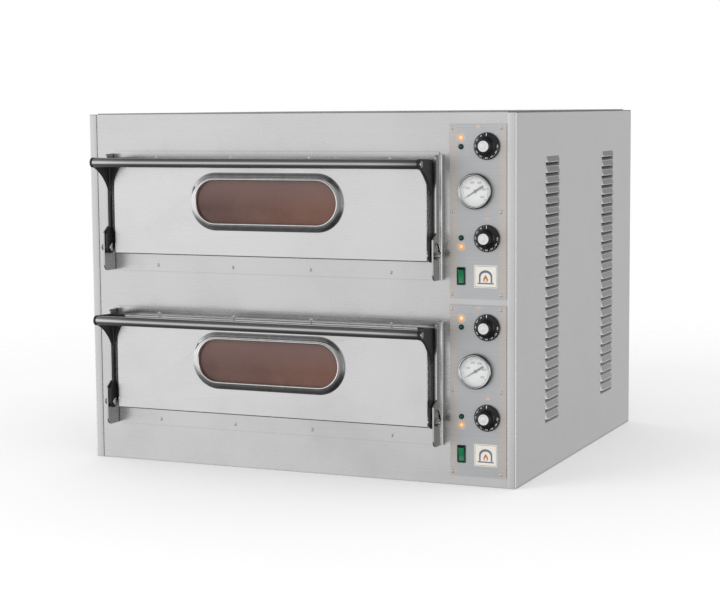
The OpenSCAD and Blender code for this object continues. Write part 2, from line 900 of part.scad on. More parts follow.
// A skirted knob with a tapered grip and a flat cap, bored for its spindle.
module heat_knob(deck, row) {
    base = panel_t + 1.3;
    color(black_cast) at_panel(deck, knob_x, knob_ups[row], base) difference() {
        rotate_extrude() polygon([
            [0, 0], [knob_r, 0], [knob_r, 2], [knob_r - 1, 3], [grip_r + 3.5, 5],
            [grip_r + 1, 8], [grip_r - 0.5, knob_out - base - 2],
            [grip_r - 2, knob_out - base], [0, knob_out - base]
        ]);
        translate([0, 0, -cut]) cylinder(h = 12 + cut, r = spindle_r + 0.01);
    }
}

module heat_spindle(deck, row) {
    length = spindle_back + panel_t + 12;
    color("#b9b9b7") at_panel(deck, knob_x, knob_ups[row], -spindle_back)
        cylinder(h = length, r = spindle_r);
}

module pilot_lamps() {
    color("#1e6b46") for (deck = [0, 1], up = pilot_ups) at_panel(deck, lamp_x, up) {
        translate([0, 0, -18]) cylinder(h = 18 + panel_t, r = 4);
        translate([0, 0, panel_t]) rotate_extrude() polygon([
            [0, 0], [5, 0], [5, 1], [3.6, 2.6], [0, 3.4]
        ]);
    }
}

module switch_housings() {
    color("#1c1d1f") for (deck = [0, 1]) at_panel(deck, switch_x, switch_up)
        difference() {
            union() {
                translate([0, 0, panel_t]) linear_extrude(2) centred_rect(16.4, 33);
                translate([0, 0, -22]) linear_extrude(22 + panel_t)
                    centred_rect(14.2, 30.2);
            }
            translate([0, 0, -14]) linear_extrude(30)
                centred_rect(rocker_w + 0.6, 2 * rocker_half + 2.8);
            translate([-10, 0, -rocker_in]) rotate([0, 90, 0])
                cylinder(h = 20, r = 1.2 + run_gap);
        }
}

// The rocker rests with its lower half pressed in.
module switch_rocker(deck) {
    half = rocker_half;
    color("#1f9a52") at_panel(deck, switch_x, switch_up, -rocker_in)
        rotate([rocker_tilt, 0, 0]) {
            rotate([90, 0, 90]) translate([0, 0, -rocker_w / 2]) linear_extrude(rocker_w)
                polygon([
                    [-half, 2], [-half, 6.5], [0, 4.8], [half, 6.5], [half, 2],
                    [4, -3], [-4, -3]
                ]);
            translate([-rocker_w / 2 - 1, 0, 0]) rotate([0, 90, 0])
                cylinder(h = rocker_w + 2, r = 1.2);
        }
}

module badge_plates() {
    color("#e2ddd0") for (deck = [0, 1]) at_panel(deck, badge_x, badge_up, panel_t)
        linear_extrude(0.8) centred_rect(badge_w, badge_h);
}

module terminal_block() {
    ways = 5;
    way_w = 16;
    floor_z = sheet_t + seam;
    color("#e9e4d8") difference() {
        translate([panel_x - ways * way_w / 2, back_y - 90, floor_z])
            cube([ways * way_w, 30, 28]);
        for (i = [0 : ways - 1], y = [-82, -68])
            translate([panel_x + (i - (ways - 1) / 2) * way_w, back_y + y, floor_z + 14])
                cylinder(h = 20, r = 4);
    }
}

module cable_gland() {
    color("#2a2b2d") translate([panel_x, back_y, 60]) rotate([-90, 0, 0]) difference() {
        union() {
            translate([0, 0, -14]) cylinder(h = 26, r = 10);
            cylinder(h = 6, r = 15, $fn = 6);
            translate([0, 0, 6]) cylinder(h = 8, r = 12.5);
            translate([0, 0, -sheet_t - 5]) cylinder(h = 5, r = 14, $fn = 6);
        }
        translate([0, 0, -20]) cylinder(h = 40, r = 7);
    }
}

base_pan();
left_side_panel();
right_side_panel();
back_panel();
top_cover();
front_panel();
partition_wall();
chamber_liner(1);  // upper_chamber_liner
chamber_liner(0);  // lower_chamber_liner
mouth_frames();
mouth_frame_screws();
insulation_blankets();
hearth_stones(1);  // upper_hearth_stones
hearth_stones(0);  // lower_hearth_stones
heating_elements(1);  // upper_heating_elements
heating_elements(0);  // lower_heating_elements
chamber_lamps();
hinge_cheeks();
hinge_bolts();
hinge_nuts();
control_panel(1);  // upper_control_panel
control_panel(0);  // lower_control_panel
control_panel_screws();
thermometer_cases();
thermometer_dials();
thermometer_glasses();
thermometer_needle(1);  // upper_thermometer_needle
thermometer_needle(0);  // lower_thermometer_needle
thermostat_bodies();
heat_knob(1, 0);  // upper_top_heat_knob
heat_knob(1, 1);  // upper_base_heat_knob
heat_knob(0, 0);  // lower_top_heat_knob
heat_knob(0, 1);  // lower_base_heat_knob
heat_spindle(1, 0);  // upper_top_heat_spindle
heat_spindle(1, 1);  // upper_base_heat_spindle
heat_spindle(0, 0);  // lower_top_heat_spindle
heat_spindle(0, 1);  // lower_base_heat_spindle
pilot_lamps();
switch_housings();
switch_rocker(1);  // upper_switch_rocker
switch_rocker(0);  // lower_switch_rocker
badge_plates();
terminal_block();
cable_gland();
door_outer_skin(1);  // upper_door_outer_skin
door_outer_skin(0);  // lower_door_outer_skin
door_inner_skin(1);  // upper_door_inner_skin
door_inner_skin(0);  // lower_door_inner_skin
door_insulation(1);  // upper_door_insulation
door_insulation(0);  // lower_door_insulation
window_bezel(1);  // upper_window_bezel
window_bezel(0);  // lower_window_bezel
window_glass(1);  // upper_window_glass
window_glass(0);  // lower_window_glass
handle_bar(1);  // upper_handle_bar
handle_bar(0);  // lower_handle_bar
door_arms(1);  // upper_door_arms
door_arms(0);  // lower_door_arms
handle_screws(1);  // upper_handle_screws
handle_screws(0);  // lower_handle_screws
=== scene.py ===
import json
import random
from math import atan2, cos, degrees, hypot, radians, sin, sqrt, tau
import bpy
import bmesh
from mathutils import Matrix, Vector


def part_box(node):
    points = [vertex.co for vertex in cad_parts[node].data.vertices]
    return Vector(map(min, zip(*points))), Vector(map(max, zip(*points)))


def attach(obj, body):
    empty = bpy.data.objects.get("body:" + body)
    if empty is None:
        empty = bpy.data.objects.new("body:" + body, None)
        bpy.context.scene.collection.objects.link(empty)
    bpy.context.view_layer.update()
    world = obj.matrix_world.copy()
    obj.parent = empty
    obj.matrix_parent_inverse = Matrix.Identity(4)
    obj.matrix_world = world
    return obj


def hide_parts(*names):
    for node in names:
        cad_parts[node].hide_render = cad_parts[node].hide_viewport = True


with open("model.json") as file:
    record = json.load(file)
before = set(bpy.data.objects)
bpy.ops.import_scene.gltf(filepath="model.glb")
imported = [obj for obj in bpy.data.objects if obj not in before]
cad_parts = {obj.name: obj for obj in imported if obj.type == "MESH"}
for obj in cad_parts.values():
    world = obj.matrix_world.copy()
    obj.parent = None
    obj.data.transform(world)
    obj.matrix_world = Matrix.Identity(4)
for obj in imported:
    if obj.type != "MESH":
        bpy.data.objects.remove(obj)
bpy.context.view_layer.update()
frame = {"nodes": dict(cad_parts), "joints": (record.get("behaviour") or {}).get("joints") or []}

random.seed(7)
MM = 0.001
TAU = tau
QUARTER = [i * TAU / 24 for i in range(7)]
NODES = frame["nodes"]
JOINTS = {j["name"]: j for j in frame["joints"]}
DECKS = ("lower", "upper")


# ---- places, all read from the frame ----

def box_mm(node):
    lo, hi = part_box(node)
    return lo / MM, hi / MM


def joint_place(name):
    return Vector(JOINTS[name]["pos_m"]) / MM


FRONT = joint_place("upper_needle_turn").y
PANEL_T = FRONT - box_mm("upper_control_panel")[0].y
SIDE_X = -box_mm("left_side_panel")[0].x
LIP_Y = box_mm("right_side_panel")[0].y
SHELL_TOP = box_mm("right_side_panel")[1].z
SHEET = 1.2
MERGE_M = 0.00001


def on_front(x, z, out=0.0):
    """Local +X goes right, +Y up and +Z out of the front, in millimetres."""
    return Matrix((
        (MM, 0, 0, x * MM),
        (0, 0, -MM, (FRONT - out) * MM),
        (0, MM, 0, z * MM),
        (0, 0, 0, 1)))


def front_of(lo, hi, out=0.0):
    """on_front at the middle of a box, given by its lowest and highest corners."""
    return on_front((lo.x + hi.x) / 2, (lo.z + hi.z) / 2, out)


def across(x, y, z, side=1):
    """Local +Z goes right (or left, with side -1) along the bolts' axes."""
    return Matrix((
        (0, 0, side * MM, x * MM),
        (-MM, 0, 0, y * MM),
        (0, MM, 0, z * MM),
        (0, 0, 0, 1)))


# ---- mesh building ----

def lathe(profile, steps=64, closed=False):
    """Turns (radius, height) points about +Z. Points at radius 0 become poles."""
    verts, rings = [], []
    for r, h in profile:
        if r < 1e-6:
            rings.append([len(verts)])
            verts.append((0, 0, h))
        else:
            rings.append(list(range(len(verts), len(verts) + steps)))
            verts += [(r * cos(i * TAU / steps), r * sin(i * TAU / steps), h)
                      for i in range(steps)]
    pairs = list(zip(rings, rings[1:]))
    if closed:
        pairs.append((rings[-1], rings[0]))
    faces = []
    for a, b in pairs:
        for i in range(steps):
            j = (i + 1) % steps
            if len(a) == 1 and len(b) > 1:
                faces.append((a[0], b[j], b[i]))
            elif len(b) == 1 and len(a) > 1:
                faces.append((a[i], a[j], b[0]))
            elif len(a) > 1:
                faces.append((a[i], a[j], b[j], b[i]))
    return verts, faces


END_POINTS = 28
RUN_POINTS = 10


def stadium_loop(half, r):
    """Points round a slot with straight sides, from its right end, anticlockwise."""
    loop = []
    for side in (1, -1):
        for i in range(END_POINTS):
            a = -TAU / 4 + i * TAU / 2 / END_POINTS
            loop.append((side * (half + r * cos(a)), side * r * sin(a)))
        for i in range(RUN_POINTS):
            loop.append((side * (half - 2 * half * i / RUN_POINTS), side * r))
    return loop


def join_rings(rings, closed=False):
    """Joins closed rows of matching points, and the last row to the first if closed."""
    n, rows = len(rings[0]), len(rings)
    verts = [point for ring in rings for point in ring]
    faces = []
    for k in range(rows if closed else rows - 1):
        a, b = k * n, (k + 1) % rows * n
        for i in range(n):
            j = (i + 1) % n
            faces.append((a + i, a + j, b + j, b + i))
    return verts, faces


def sweep_loops(loops, closed=True):
    """Joins flat loops, each (list of x, y) with its height."""
    return join_rings([[(x, y, h) for x, y in loop] for loop, h in loops], closed)


def take_surface(curve, thickness):
    """Turns a curve into vertices and faces that stand on z = 0, and deletes the curve."""
    thing = bpy.data.objects.new("outline", curve)
    mesh = bpy.data.meshes.new_from_object(thing)
    verts = [(v.co.x, v.co.y, v.co.z + thickness / 2) for v in mesh.vertices]
    faces = [tuple(p.vertices) for p in mesh.polygons]
    bpy.data.objects.remove(thing)
    bpy.data.curves.remove(curve)
    bpy.data.meshes.remove(mesh)
    return verts, faces


def slab(outlines, thickness, bevel=0.0, steps=2):
    """A plate with rounded edges from closed outlines (holes too), from z = 0 up."""
    curve = bpy.data.curves.new("outline", "CURVE")
    curve.dimensions = "2D"
    curve.fill_mode = "BOTH"
    for outline in outlines:
        spline = curve.splines.new("POLY")
        spline.points.add(len(outline) - 1)
        for point, (x, y) in zip(spline.points, outline):
            point.co = (x, y, 0, 1)
        spline.use_cyclic_u = True
    curve.extrude = thickness / 2 - bevel
    curve.bevel_depth = bevel
    curve.bevel_resolution = steps
    curve.offset = -bevel
    return take_surface(curve, thickness)


def lettering(text, size, thickness, weight=0.0):
    """Flat raised characters, centred on the origin."""
    curve = bpy.data.curves.new("text", "FONT")
    curve.body = text
    curve.size = size
    curve.align_x = "CENTER"
    curve.align_y = "CENTER"
    curve.extrude = thickness / 2
    curve.offset = weight
    curve.resolution_u = 3
    return take_surface(curve, thickness)


def rounded_rect(w, h, r, steps=5):
    loop = []
    for cx, cy, start in ((1, 1, 0), (-1, 1, 1), (-1, -1, 2), (1, -1, 3)):
        for i in range(steps + 1):
            a = (start + i / steps) * TAU / 4
            loop.append((cx * (w / 2 - r) + r * cos(a),
                         cy * (h / 2 - r) + r * sin(a)))
    return loop


def circle_loop(r, steps):
    return [(r * cos(i * TAU / steps), r * sin(i * TAU / steps)) for i in range(steps)]


def put_in_scene(name, data):
    obj = bpy.data.objects.new(name, data)
    bpy.context.scene.collection.objects.link(obj)
    return obj


class Piece:
    """Collects surfaces in millimetres and turns them into one object in metres."""

    def __init__(self):
        self.verts, self.faces, self.marks = [], [], []

    def add(self, part, place, mark=0, flip=False):
        verts, faces = part
        first = len(self.verts)
        self.verts += [place @ Vector(v) for v in verts]
        turn = (place.determinant() < 0) != flip
        for face in faces:
            face = [i + first for i in face]
            self.faces.append(face[::-1] if turn else face)
            self.marks.append(mark)
        return self

    def make(self, name, body, slot, materials, replaces=(), angle=32):
        mesh = bpy.data.meshes.new(name)
        mesh.from_pydata(self.verts, [], self.faces)
        for m in materials:
            mesh.materials.append(m)
        mesh.polygons.foreach_set("material_index", self.marks)
        bm = bmesh.new()
        bm.from_mesh(mesh)
        bmesh.ops.remove_doubles(bm, verts=bm.verts, dist=MERGE_M)
        bm.to_mesh(mesh)
        bm.free()
        mesh.shade_smooth()
        mesh.set_sharp_from_angle(angle=radians(angle))
        obj = put_in_scene(name, mesh)
        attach(obj, body)
        if replaces:
            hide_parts(*replaces)
        return obj


# ---- materials ----

class Nodes:
    """Adds nodes to a tree. Inputs are given by name, or by number as i0, i1 and so on."""

    def __init__(self, tree):
        self.tree = tree

    def node(self, kind, sets=None, **inputs):
        n = self.tree.nodes.new("ShaderNode" + kind)
        for key, value in (sets or {}).items():
            setattr(n, key, value)
        for key, value in inputs.items():
            key = int(key[1:]) if key[0] == "i" and key[1:].isdigit() else key.replace("_", " ")
            self.put(n.inputs[key], value)
        return n

    def put(self, socket, value):
        if isinstance(value, bpy.types.NodeSocket):
            self.tree.links.new(value, socket)
        else:
            socket.default_value = value


class Shader(Nodes):
    """A material's nodes, which end in one Principled surface."""

    def __init__(self, name):
        self.material = bpy.data.materials.new(name)
        self.material.use_nodes = True
        super().__init__(self.material.node_tree)
        self.surface = self.tree.nodes["Principled BSDF"]
        self.point = self.node("TexCoord").outputs["Object"]

    def set(self, **inputs):
        for key, value in inputs.items():
            self.put(self.surface.inputs[key.replace("_", " ")], value)
        return self

    def scaled(self, x, y, z, vector=None):
        return self.node("Mapping", Vector=vector or self.point, Scale=(x, y, z)).outputs[0]

    def noise(self, scale, vector=None, detail=3.0, rough=0.5):
        n = self.node("TexNoise", Vector=vector or self.point, Scale=scale,
                      Detail=detail, Roughness=rough)
        return n.outputs["Fac"]

    def ramp(self, value, low, high, start=0.0, end=1.0):
        n = self.node("MapRange", Value=value)
        for key, v in (("From Min", start), ("From Max", end), ("To Min", low), ("To Max", high)):
            n.inputs[key].default_value = v
        return n.outputs[0]

    def mask(self, value, start=0.3, end=0.7):
        return self.ramp(value, 0.0, 1.0, start, end)

    def math(self, operation, a, b=0.0):
        return self.node("Math", {"operation": operation}, i0=a, i1=b).outputs[0]

    def mix(self, factor, a, b):
        n = self.node("Mix", {"data_type": "RGBA"})
        self.put(n.inputs[0], factor)
        self.put(n.inputs[6], a)
        self.put(n.inputs[7], b)
        return n.outputs[2]

    def axes(self):
        n = self.node("SeparateXYZ", Vector=self.point)
        return n.outputs

    def bump(self, height, strength, distance):
        """Adds a bump over any that is there already. distance is in millimetres."""
        inputs = {"Height": height, "Strength": strength, "Distance": distance * MM}
        before = self.surface.inputs["Normal"]
        if before.is_linked:
            inputs["Normal"] = before.links[0].from_socket
        n = self.node("Bump", **inputs)
        self.set(Normal=n.outputs[0])
        return self


def grey(v, warm=0.0):
    return (v + warm, v, v - warm, 1.0)


GRAIN_ALONG = 4.0
GRAIN_ACROSS = 950.0
BROAD_ALONG = GRAIN_ALONG * 0.6
BROAD_ACROSS = GRAIN_ACROSS * 0.16


def brushed(name, tone, rough, axis, grain=1.0, smudge=0.05, warm=0.0, wave=0.0, turn=0.6, shade=0.4,
            reach=7.0):
    """Brushed sheet: fine streaks along one axis, faint smudges, slow waves, and painted shade in folds.

    shade is how bright the deepest folds stay under the painted shade, and reach how far from them it
    darkens, in mm."""
    s = Shader(name)

    def streak_scales(along, over):
        return [along if letter == axis else over for letter in "XYZ"]

    fine = s.noise(1.0, s.scaled(*streak_scales(GRAIN_ALONG, GRAIN_ACROSS)), detail=2.0)
    broad = s.noise(1.0, s.scaled(*streak_scales(BROAD_ALONG, BROAD_ACROSS)), detail=3.0, rough=0.6)
    marks = s.noise(7.0, detail=4.0, rough=0.6)
    streaks = s.math("ADD", s.math("MULTIPLY", fine, 0.6), s.math("MULTIPLY", broad, 0.4))
    roughness = s.math("ADD", s.ramp(streaks, rough - 0.05, rough + 0.05, 0.3, 0.7),
                       s.ramp(marks, -smudge, smudge, 0.35, 0.7))
    dull, clean = grey(tone * 0.965, warm), grey(min(tone * 1.035, 1), warm)
    tint = s.mix(s.mask(streaks), dull, clean)
    colour = s.mix(s.ramp(marks, 0.0, 0.12, 0.5, 0.75), tint, grey(tone * 0.86, warm))
    # Painted shade: the colour is darkened near folds, seams and nearby parts.
    fold_occlusion = s.node("AmbientOcclusion", {"samples": 6}, Distance=reach * MM).outputs["AO"]
    painted_shade = s.ramp(fold_occlusion, shade, 1.0, 0.25, 0.9)
    colour = s.node("VectorMath", {"operation": "SCALE"}, i0=colour, Scale=painted_shade).outputs[0]
    s.set(Base_Color=colour, Metallic=1.0, Roughness=roughness, Anisotropic=turn)
    s.set(Tangent=s.node("CombineXYZ", **{axis: 1.0}).outputs[0])
    s.bump(streaks, 0.10 * grain, 0.02)
    if wave:
        s.bump(s.noise(2.2, detail=1.0), 0.5, wave)
    return s.material


def painted(name, colour, rough, grain_mm, strength, lift=1.35, coat=0.0, wear=0.0):
    """Paint or moulded plastic: pebbled surface, uneven sheen, and paler worn spots."""
    s = Shader(name)
    pebble = s.noise(1000.0 / grain_mm, detail=3.0)
    blotch = s.noise(24.0, detail=4.0, rough=0.6)
    pale = tuple(min(c * lift + 0.004, 1.0) for c in colour) + (1,)
    tint = s.mix(s.mask(blotch, 0.35, 0.75), colour + (1,), pale)
    if wear:
        edge = s.node("NewGeometry").outputs["Pointiness"]
        worn = s.math("MULTIPLY", s.mask(edge, 0.52, 0.62), s.mask(pebble, 0.4, 0.7))
        tint = s.mix(s.math("MULTIPLY", worn, wear), tint, grey(0.32))
    s.set(Base_Color=tint, Roughness=s.ramp(blotch, rough - 0.06, rough + 0.08, 0.3, 0.7))
    if coat:
        s.set(Coat_Weight=coat, Coat_Roughness=0.12)
    s.bump(pebble, strength, grain_mm * 0.12)
    return s.material


def bright(name, tone, rough, warm=0.0):
    """Plated or polished metal with hairlines and faint cloudy patches."""
    s = Shader(name)
    lines = s.noise(1400.0, detail=2.0)
    cloud = s.noise(90.0, detail=3.0)
    s.set(Metallic=1.0,
          Base_Color=s.mix(s.mask(cloud, 0.35, 0.7), grey(tone * 0.9, warm), grey(tone, warm)),
          Roughness=s.ramp(cloud, rough * 0.6, rough * 1.6, 0.3, 0.75))
    s.bump(lines, 0.06, 0.02)
    return s.material


PAINTS = {
    "arm": ("arm_enamel", (0.011, 0.010, 0.011), 0.40, 1.1, 0.3, {"wear": 0.25}),
    "knob": ("knob_moulding", (0.007, 0.007, 0.008), 0.30, 0.7, 0.15),
    "switch": ("switch_moulding", (0.008, 0.012, 0.010), 0.35, 0.6, 0.15),
    "needle": ("needle_lacquer", (0.008, 0.008, 0.009), 0.45, 0.6, 0.1),
    "dial": ("dial_enamel", (0.74, 0.74, 0.73), 0.35, 0.9, 0.05, {"lift": 1.04}),
    "badge": ("badge_enamel", (0.70, 0.67, 0.60), 0.28, 0.8, 0.1, {"lift": 1.06, "coat": 0.5}),
    "ceramic": ("lamp_glaze", (0.70, 0.67, 0.58), 0.22, 1.5, 0.1, {"lift": 1.1, "coat": 0.6}),
    "case": ("thermostat_moulding", (0.55, 0.50, 0.42), 0.5, 1.0, 0.25, {"lift": 1.1}),
    "terminal": ("terminal_moulding", (0.66, 0.62, 0.54), 0.45, 1.0, 0.25, {"lift": 1.1}),
    "gland": ("gland_nylon", (0.02, 0.02, 0.02), 0.5, 0.9, 0.3),
}
INKS = {"white": (0.72, 0.72, 0.70), "orange": (0.86, 0.36, 0.10), "halo": (0.76, 0.46, 0.28),
        "pale": (0.92, 0.62, 0.40), "grey": (0.16, 0.17, 0.19)}
SATIN_INKS = {"slate": (0.11, 0.13, 0.17), "rust": (0.42, 0.13, 0.06)}


def make_materials():
    m = {}
    for key, (name, colour, rough, grain_mm, strength, *more) in PAINTS.items():
        m[key] = painted(name, colour, rough, grain_mm, strength, **(more[0] if more else {}))
    for inks, rough in ((INKS, 0.5), (SATIN_INKS, 0.45)):
        for ink, colour in inks.items():
            m[f"{ink}_print"] = painted(f"{ink}_print", colour, rough, 0.5, 0.1)
    # Front, door and side are one brushed steel. The door's brighter tone and the side's darker tone are
    # painted light and shade for how each face is lit.
    m["front"] = brushed("brushed_front", 0.70, 0.27, "X", grain=0.6, wave=0.35, shade=0.6, reach=4.0)
    m["door"] = brushed("brushed_door_painted_light", 0.77, 0.27, "X", grain=0.6, wave=0.25, shade=0.5)
    m["side"] = brushed("brushed_side_painted_shade", 0.57, 0.40, "Y", grain=0.5, smudge=0.02, turn=0.4)
    # The flaps' darker tone is painted shade for the openings under the louvre hoods.
    m["flap"] = brushed("louvre_flap_painted_shade", 0.36, 0.45, "Y", grain=0.5, smudge=0.02, turn=0.4)
    m["top"] = brushed("brushed_top", 0.45, 0.33, "X", wave=0.3)
    m["cheek"] = brushed("brushed_cheek", 0.64, 0.24, "Z", warm=0.004, shade=0.75)
    m["inner"] = brushed("mill_sheet", 0.50, 0.45, "X", smudge=0.08, turn=0.2)
    m["door_inner"] = brushed("door_inner_sheet", 0.58, 0.36, "X", smudge=0.1, warm=0.012)
    m["panel"] = control_plate()
    m["bar"] = brushed("polished_bar", 0.53, 0.2, "X", smudge=0.02, turn=0.3)
    m["bezel"] = bright("window_bezel_chrome", 0.62, 0.16)
    m["chrome"] = bright("gauge_chrome", 0.80, 0.10)
    m["zinc"] = bright("bright_screw", 0.80, 0.20, 0.004)
    m["screw"] = bright("plated_screw", 0.80, 0.24, 0.012)
    m["screw"].node_tree.nodes["Principled BSDF"].inputs["Metallic"].default_value = 0.7
    m["cap"] = blasted_aluminium()
    m["rocker"] = rocker_plastic()
    m["pilot"] = lens_plastic()
    m["pane"] = oven_pane()
    m["gauge_glass"] = clear_glass()
    m["wool"] = mineral_wool()
    m["stone"] = fire_brick()
    m["element"] = sheathed_tube()
    m["spindle"] = brushed("turned_spindle", 0.62, 0.3, "Y", smudge=0.02)
    m["lip_sheet"] = brushed("brushed_lip", 0.70, 0.27, "X", grain=0.2, smudge=0.02, shade=0.9)
    m["lip"] = bright("surround_lip", 0.86, 0.16, 0.012)
    # The bezel's outer wall gets a dark copy of the gauge chrome: painted shade.
    m["dark_rim"] = bright("gauge_rim_painted_shade", 0.16, 0.2)
    return m


BAND_FROM_EDGE = 11
BAND_FADE = 6


def control_plate():
    """Brushed plate with a faint warm band along its margins."""
    s = Shader("control_plate")
    fine = s.noise(1.0, s.scaled(5.0, 900.0, 900.0), detail=2.0)
    marks = s.noise(9.0, detail=4.0)
    lo, hi = box_mm("upper_control_panel")
    x = s.axes()["X"]
    off = s.math("ABSOLUTE", s.math("SUBTRACT", x, (lo.x + hi.x) / 2 * MM))
    band_at = (hi.x - lo.x) / 2 - BAND_FROM_EDGE
    band = s.ramp(off, 0.0, 1.0, (band_at - BAND_FADE) * MM, band_at * MM)
    blotch = s.ramp(marks, 0.7, 1.0, 0.3, 0.6)
    plain = s.mix(s.mask(fine), (0.53, 0.54, 0.555, 1), (0.59, 0.60, 0.615, 1))
    warm = s.mix(s.mask(fine), (0.60, 0.55, 0.51, 1), (0.66, 0.61, 0.57, 1))
    roughness = s.math("ADD", s.ramp(fine, 0.36, 0.46, 0.3, 0.7), s.ramp(marks, -0.04, 0.04, 0.35, 0.7))
    s.set(Base_Color=s.mix(s.math("MULTIPLY", band, blotch), plain, warm), Metallic=0.75,
          Roughness=roughness, Anisotropic=0.5, Tangent=(1.0, 0.0, 0.0))
    s.bump(fine, 0.12, 0.02)
    return s.material


def blasted_aluminium():
    """Bead-blasted aluminium with a fine even grain."""
    s = Shader("blasted_aluminium")
    fine = s.noise(1500.0, detail=2.0)
    s.set(Base_Color=s.mix(s.mask(fine), grey(0.66), grey(0.80)), Metallic=0.35,
          Roughness=s.ramp(fine, 0.38, 0.52, 0.3, 0.7))
    s.bump(fine, 0.1, 0.03)
    return s.material


def rocker_plastic():
    s = Shader("rocker_green")
    cloud = s.noise(60.0, detail=3.0)
    tint = s.mix(s.mask(cloud), (0.004, 0.12, 0.045, 1), (0.010, 0.22, 0.09, 1))
    s.set(Base_Color=tint, Roughness=s.ramp(cloud, 0.16, 0.28, 0.3, 0.7), Coat_Weight=0.4)
    s.bump(s.noise(900.0), 0.08, 0.05)
    return s.material


def lens_plastic():
    s = Shader("pilot_lens")
    cloud = s.noise(200.0, detail=2.0)
    s.set(Base_Color=s.mix(cloud, (0.004, 0.03, 0.02, 1), (0.01, 0.075, 0.05, 1)),
          Roughness=s.ramp(cloud, 0.08, 0.2, 0.3, 0.7), Coat_Weight=0.5)
    s.bump(s.noise(500.0), 0.15, 0.1)
    return s.material


def oven_pane():
    """Heat-tinted pane, browner to the right, with baked-on haze. Its greyer top is painted reflection."""
    s = Shader("smoked_pane")
    haze = s.noise(11.0, detail=5.0, rough=0.65)
    fleck = s.noise(160.0, detail=3.0)
    spread = s.node("SeparateXYZ", Vector=s.node("TexCoord").outputs["Generated"]).outputs
    right = s.ramp(spread["X"], 0.0, 1.0, 0.1, 1.0)
    # up makes the pane greyer towards its top: painted reflection.
    up = s.ramp(spread["Z"], 0.0, 1.0, 0.35, 1.0)
    low = s.mix(right, (0.080, 0.038, 0.032, 1), (0.150, 0.062, 0.040, 1))
    colour = s.mix(up, low, (0.185, 0.112, 0.104, 1))
    colour = s.mix(s.ramp(haze, 0.0, 0.45, 0.35, 0.75), colour, (0.21, 0.115, 0.09, 1))
    roughness = s.math("ADD", s.ramp(haze, 0.10, 0.28, 0.35, 0.75), s.ramp(fleck, -0.02, 0.03, 0.4, 0.6))
    s.set(Base_Color=colour, Alpha=0.95, IOR=1.5, Roughness=roughness)
    s.bump(s.noise(3.0, detail=1.0), 0.4, 0.2)
    return s.material


def clear_glass():
    s = Shader("gauge_crystal")
    dust = s.noise(120.0, detail=4.0)
    s.set(Base_Color=(0.96, 0.98, 0.98, 1), Alpha=0.14, IOR=1.5,
          Roughness=s.ramp(dust, 0.02, 0.10, 0.45, 0.8))
    s.bump(s.noise(8.0, detail=1.0), 0.2, 0.05)
    return s.material


def mineral_wool():
    s = Shader("mineral_wool")
    fibre = s.noise(1.0, s.scaled(60.0, 700.0, 260.0), detail=5.0, rough=0.7)
    clump = s.noise(45.0, detail=4.0)
    s.set(Base_Color=s.mix(fibre, (0.36, 0.27, 0.09, 1), (0.66, 0.54, 0.26, 1)), Roughness=0.95,
          Sheen_Weight=0.3)
    s.bump(fibre, 0.8, 1.2).bump(clump, 0.5, 3.0)
    return s.material


def fire_brick():
    """Fired clay with grog specks, a fine open grain and flour scorch marks."""
    s = Shader("fire_brick")
    grog = s.node("TexVoronoi", Vector=s.point, Scale=420.0).outputs["Distance"]
    grain = s.noise(900.0, detail=3.0)
    scorch = s.noise(9.0, detail=5.0, rough=0.6)
    base = s.mix(s.ramp(grog, 1.0, 0.0, 0.05, 0.35), (0.50, 0.41, 0.29, 1), (0.66, 0.56, 0.42, 1))
    s.set(Base_Color=s.mix(s.ramp(scorch, 0.0, 0.75, 0.52, 0.78), base, (0.17, 0.11, 0.07, 1)),
          Roughness=s.ramp(grain, 0.82, 0.96, 0.3, 0.7))
    s.bump(grain, 0.5, 0.3).bump(grog, 0.35, 0.5)
    return s.material


def sheathed_tube():
    """Heat-blued metal sheath with patches of brown, and a fine scale."""
    s = Shader("element_sheath")
    heat = s.noise(14.0, detail=3.0)
    scale = s.noise(700.0, detail=3.0)
    tint = s.mix(s.mask(heat, 0.35, 0.7), (0.17, 0.13, 0.12, 1), (0.11, 0.12, 0.17, 1))
    s.set(Base_Color=tint, Metallic=0.85, Roughness=s.ramp(scale, 0.42, 0.62, 0.3, 0.7))
    s.bump(scale, 0.3, 0.1)
    return s.material


# ---- placing by solids ----

def solids(node):
    """Lowest and highest corner, in millimetres, of each separate solid of a node."""
    bm = bmesh.new()
    bm.from_mesh(NODES[node].data)
    bmesh.ops.remove_doubles(bm, verts=bm.verts, dist=MERGE_M)
    left, boxes = set(bm.verts), []
    while left:
        stack, island = [left.pop()], []
        while stack:
            v = stack.pop()
            island.append(v.co)
            for edge in v.link_edges:
                other = edge.other_vert(v)
                if other in left:
                    left.remove(other)
                    stack.append(other)
        lo, hi = (Vector([f(axis) for axis in zip(*island)]) / MM for f in (min, max))
        boxes.append((lo, hi))
    bm.free()
    return sorted(boxes, key=lambda b: tuple(round(v) for v in (b[0].z, b[0].x)))


def spin(degrees, axis="Z"):
    return Matrix.Rotation(radians(degrees), 4, axis)


def shift(x, y, z=0.0):
    return Matrix.Translation((x, y, z))


HEAD_STEPS = 40
HEAD_RINGS = 11
CROSS_HALF_W = 0.16
CROSS_REACH = 0.62
CROSS_DEPTH = 0.75


def screw_head(r, rise):
    """Domed head with a cross recess pressed into it, on the plane z = 0."""
    rings = []
    for k in range(HEAD_RINGS + 1):
        rho = r * (1 - k / HEAD_RINGS)
        ring = []
        for i in range(HEAD_STEPS):
            x, y = rho * cos(i * TAU / HEAD_STEPS), rho * sin(i * TAU / HEAD_STEPS)
            h = rise * sqrt(max(1 - (rho / r) ** 2, 0)) if k else 0.0
            arm = min(abs(x), abs(y)) / (CROSS_HALF_W * r)
            far = max(abs(x), abs(y)) / (CROSS_REACH * r)
            h -= rise * CROSS_DEPTH * max(0, 1 - arm ** 4) * max(0, 1 - far ** 3)
            ring.append((x, y, h))
        rings.append(ring)
    return join_rings(rings)


CREASE_ANGLE = radians(32)
BEVEL_ANGLE = radians(35)
FLAT_ANGLE = radians(0.4)


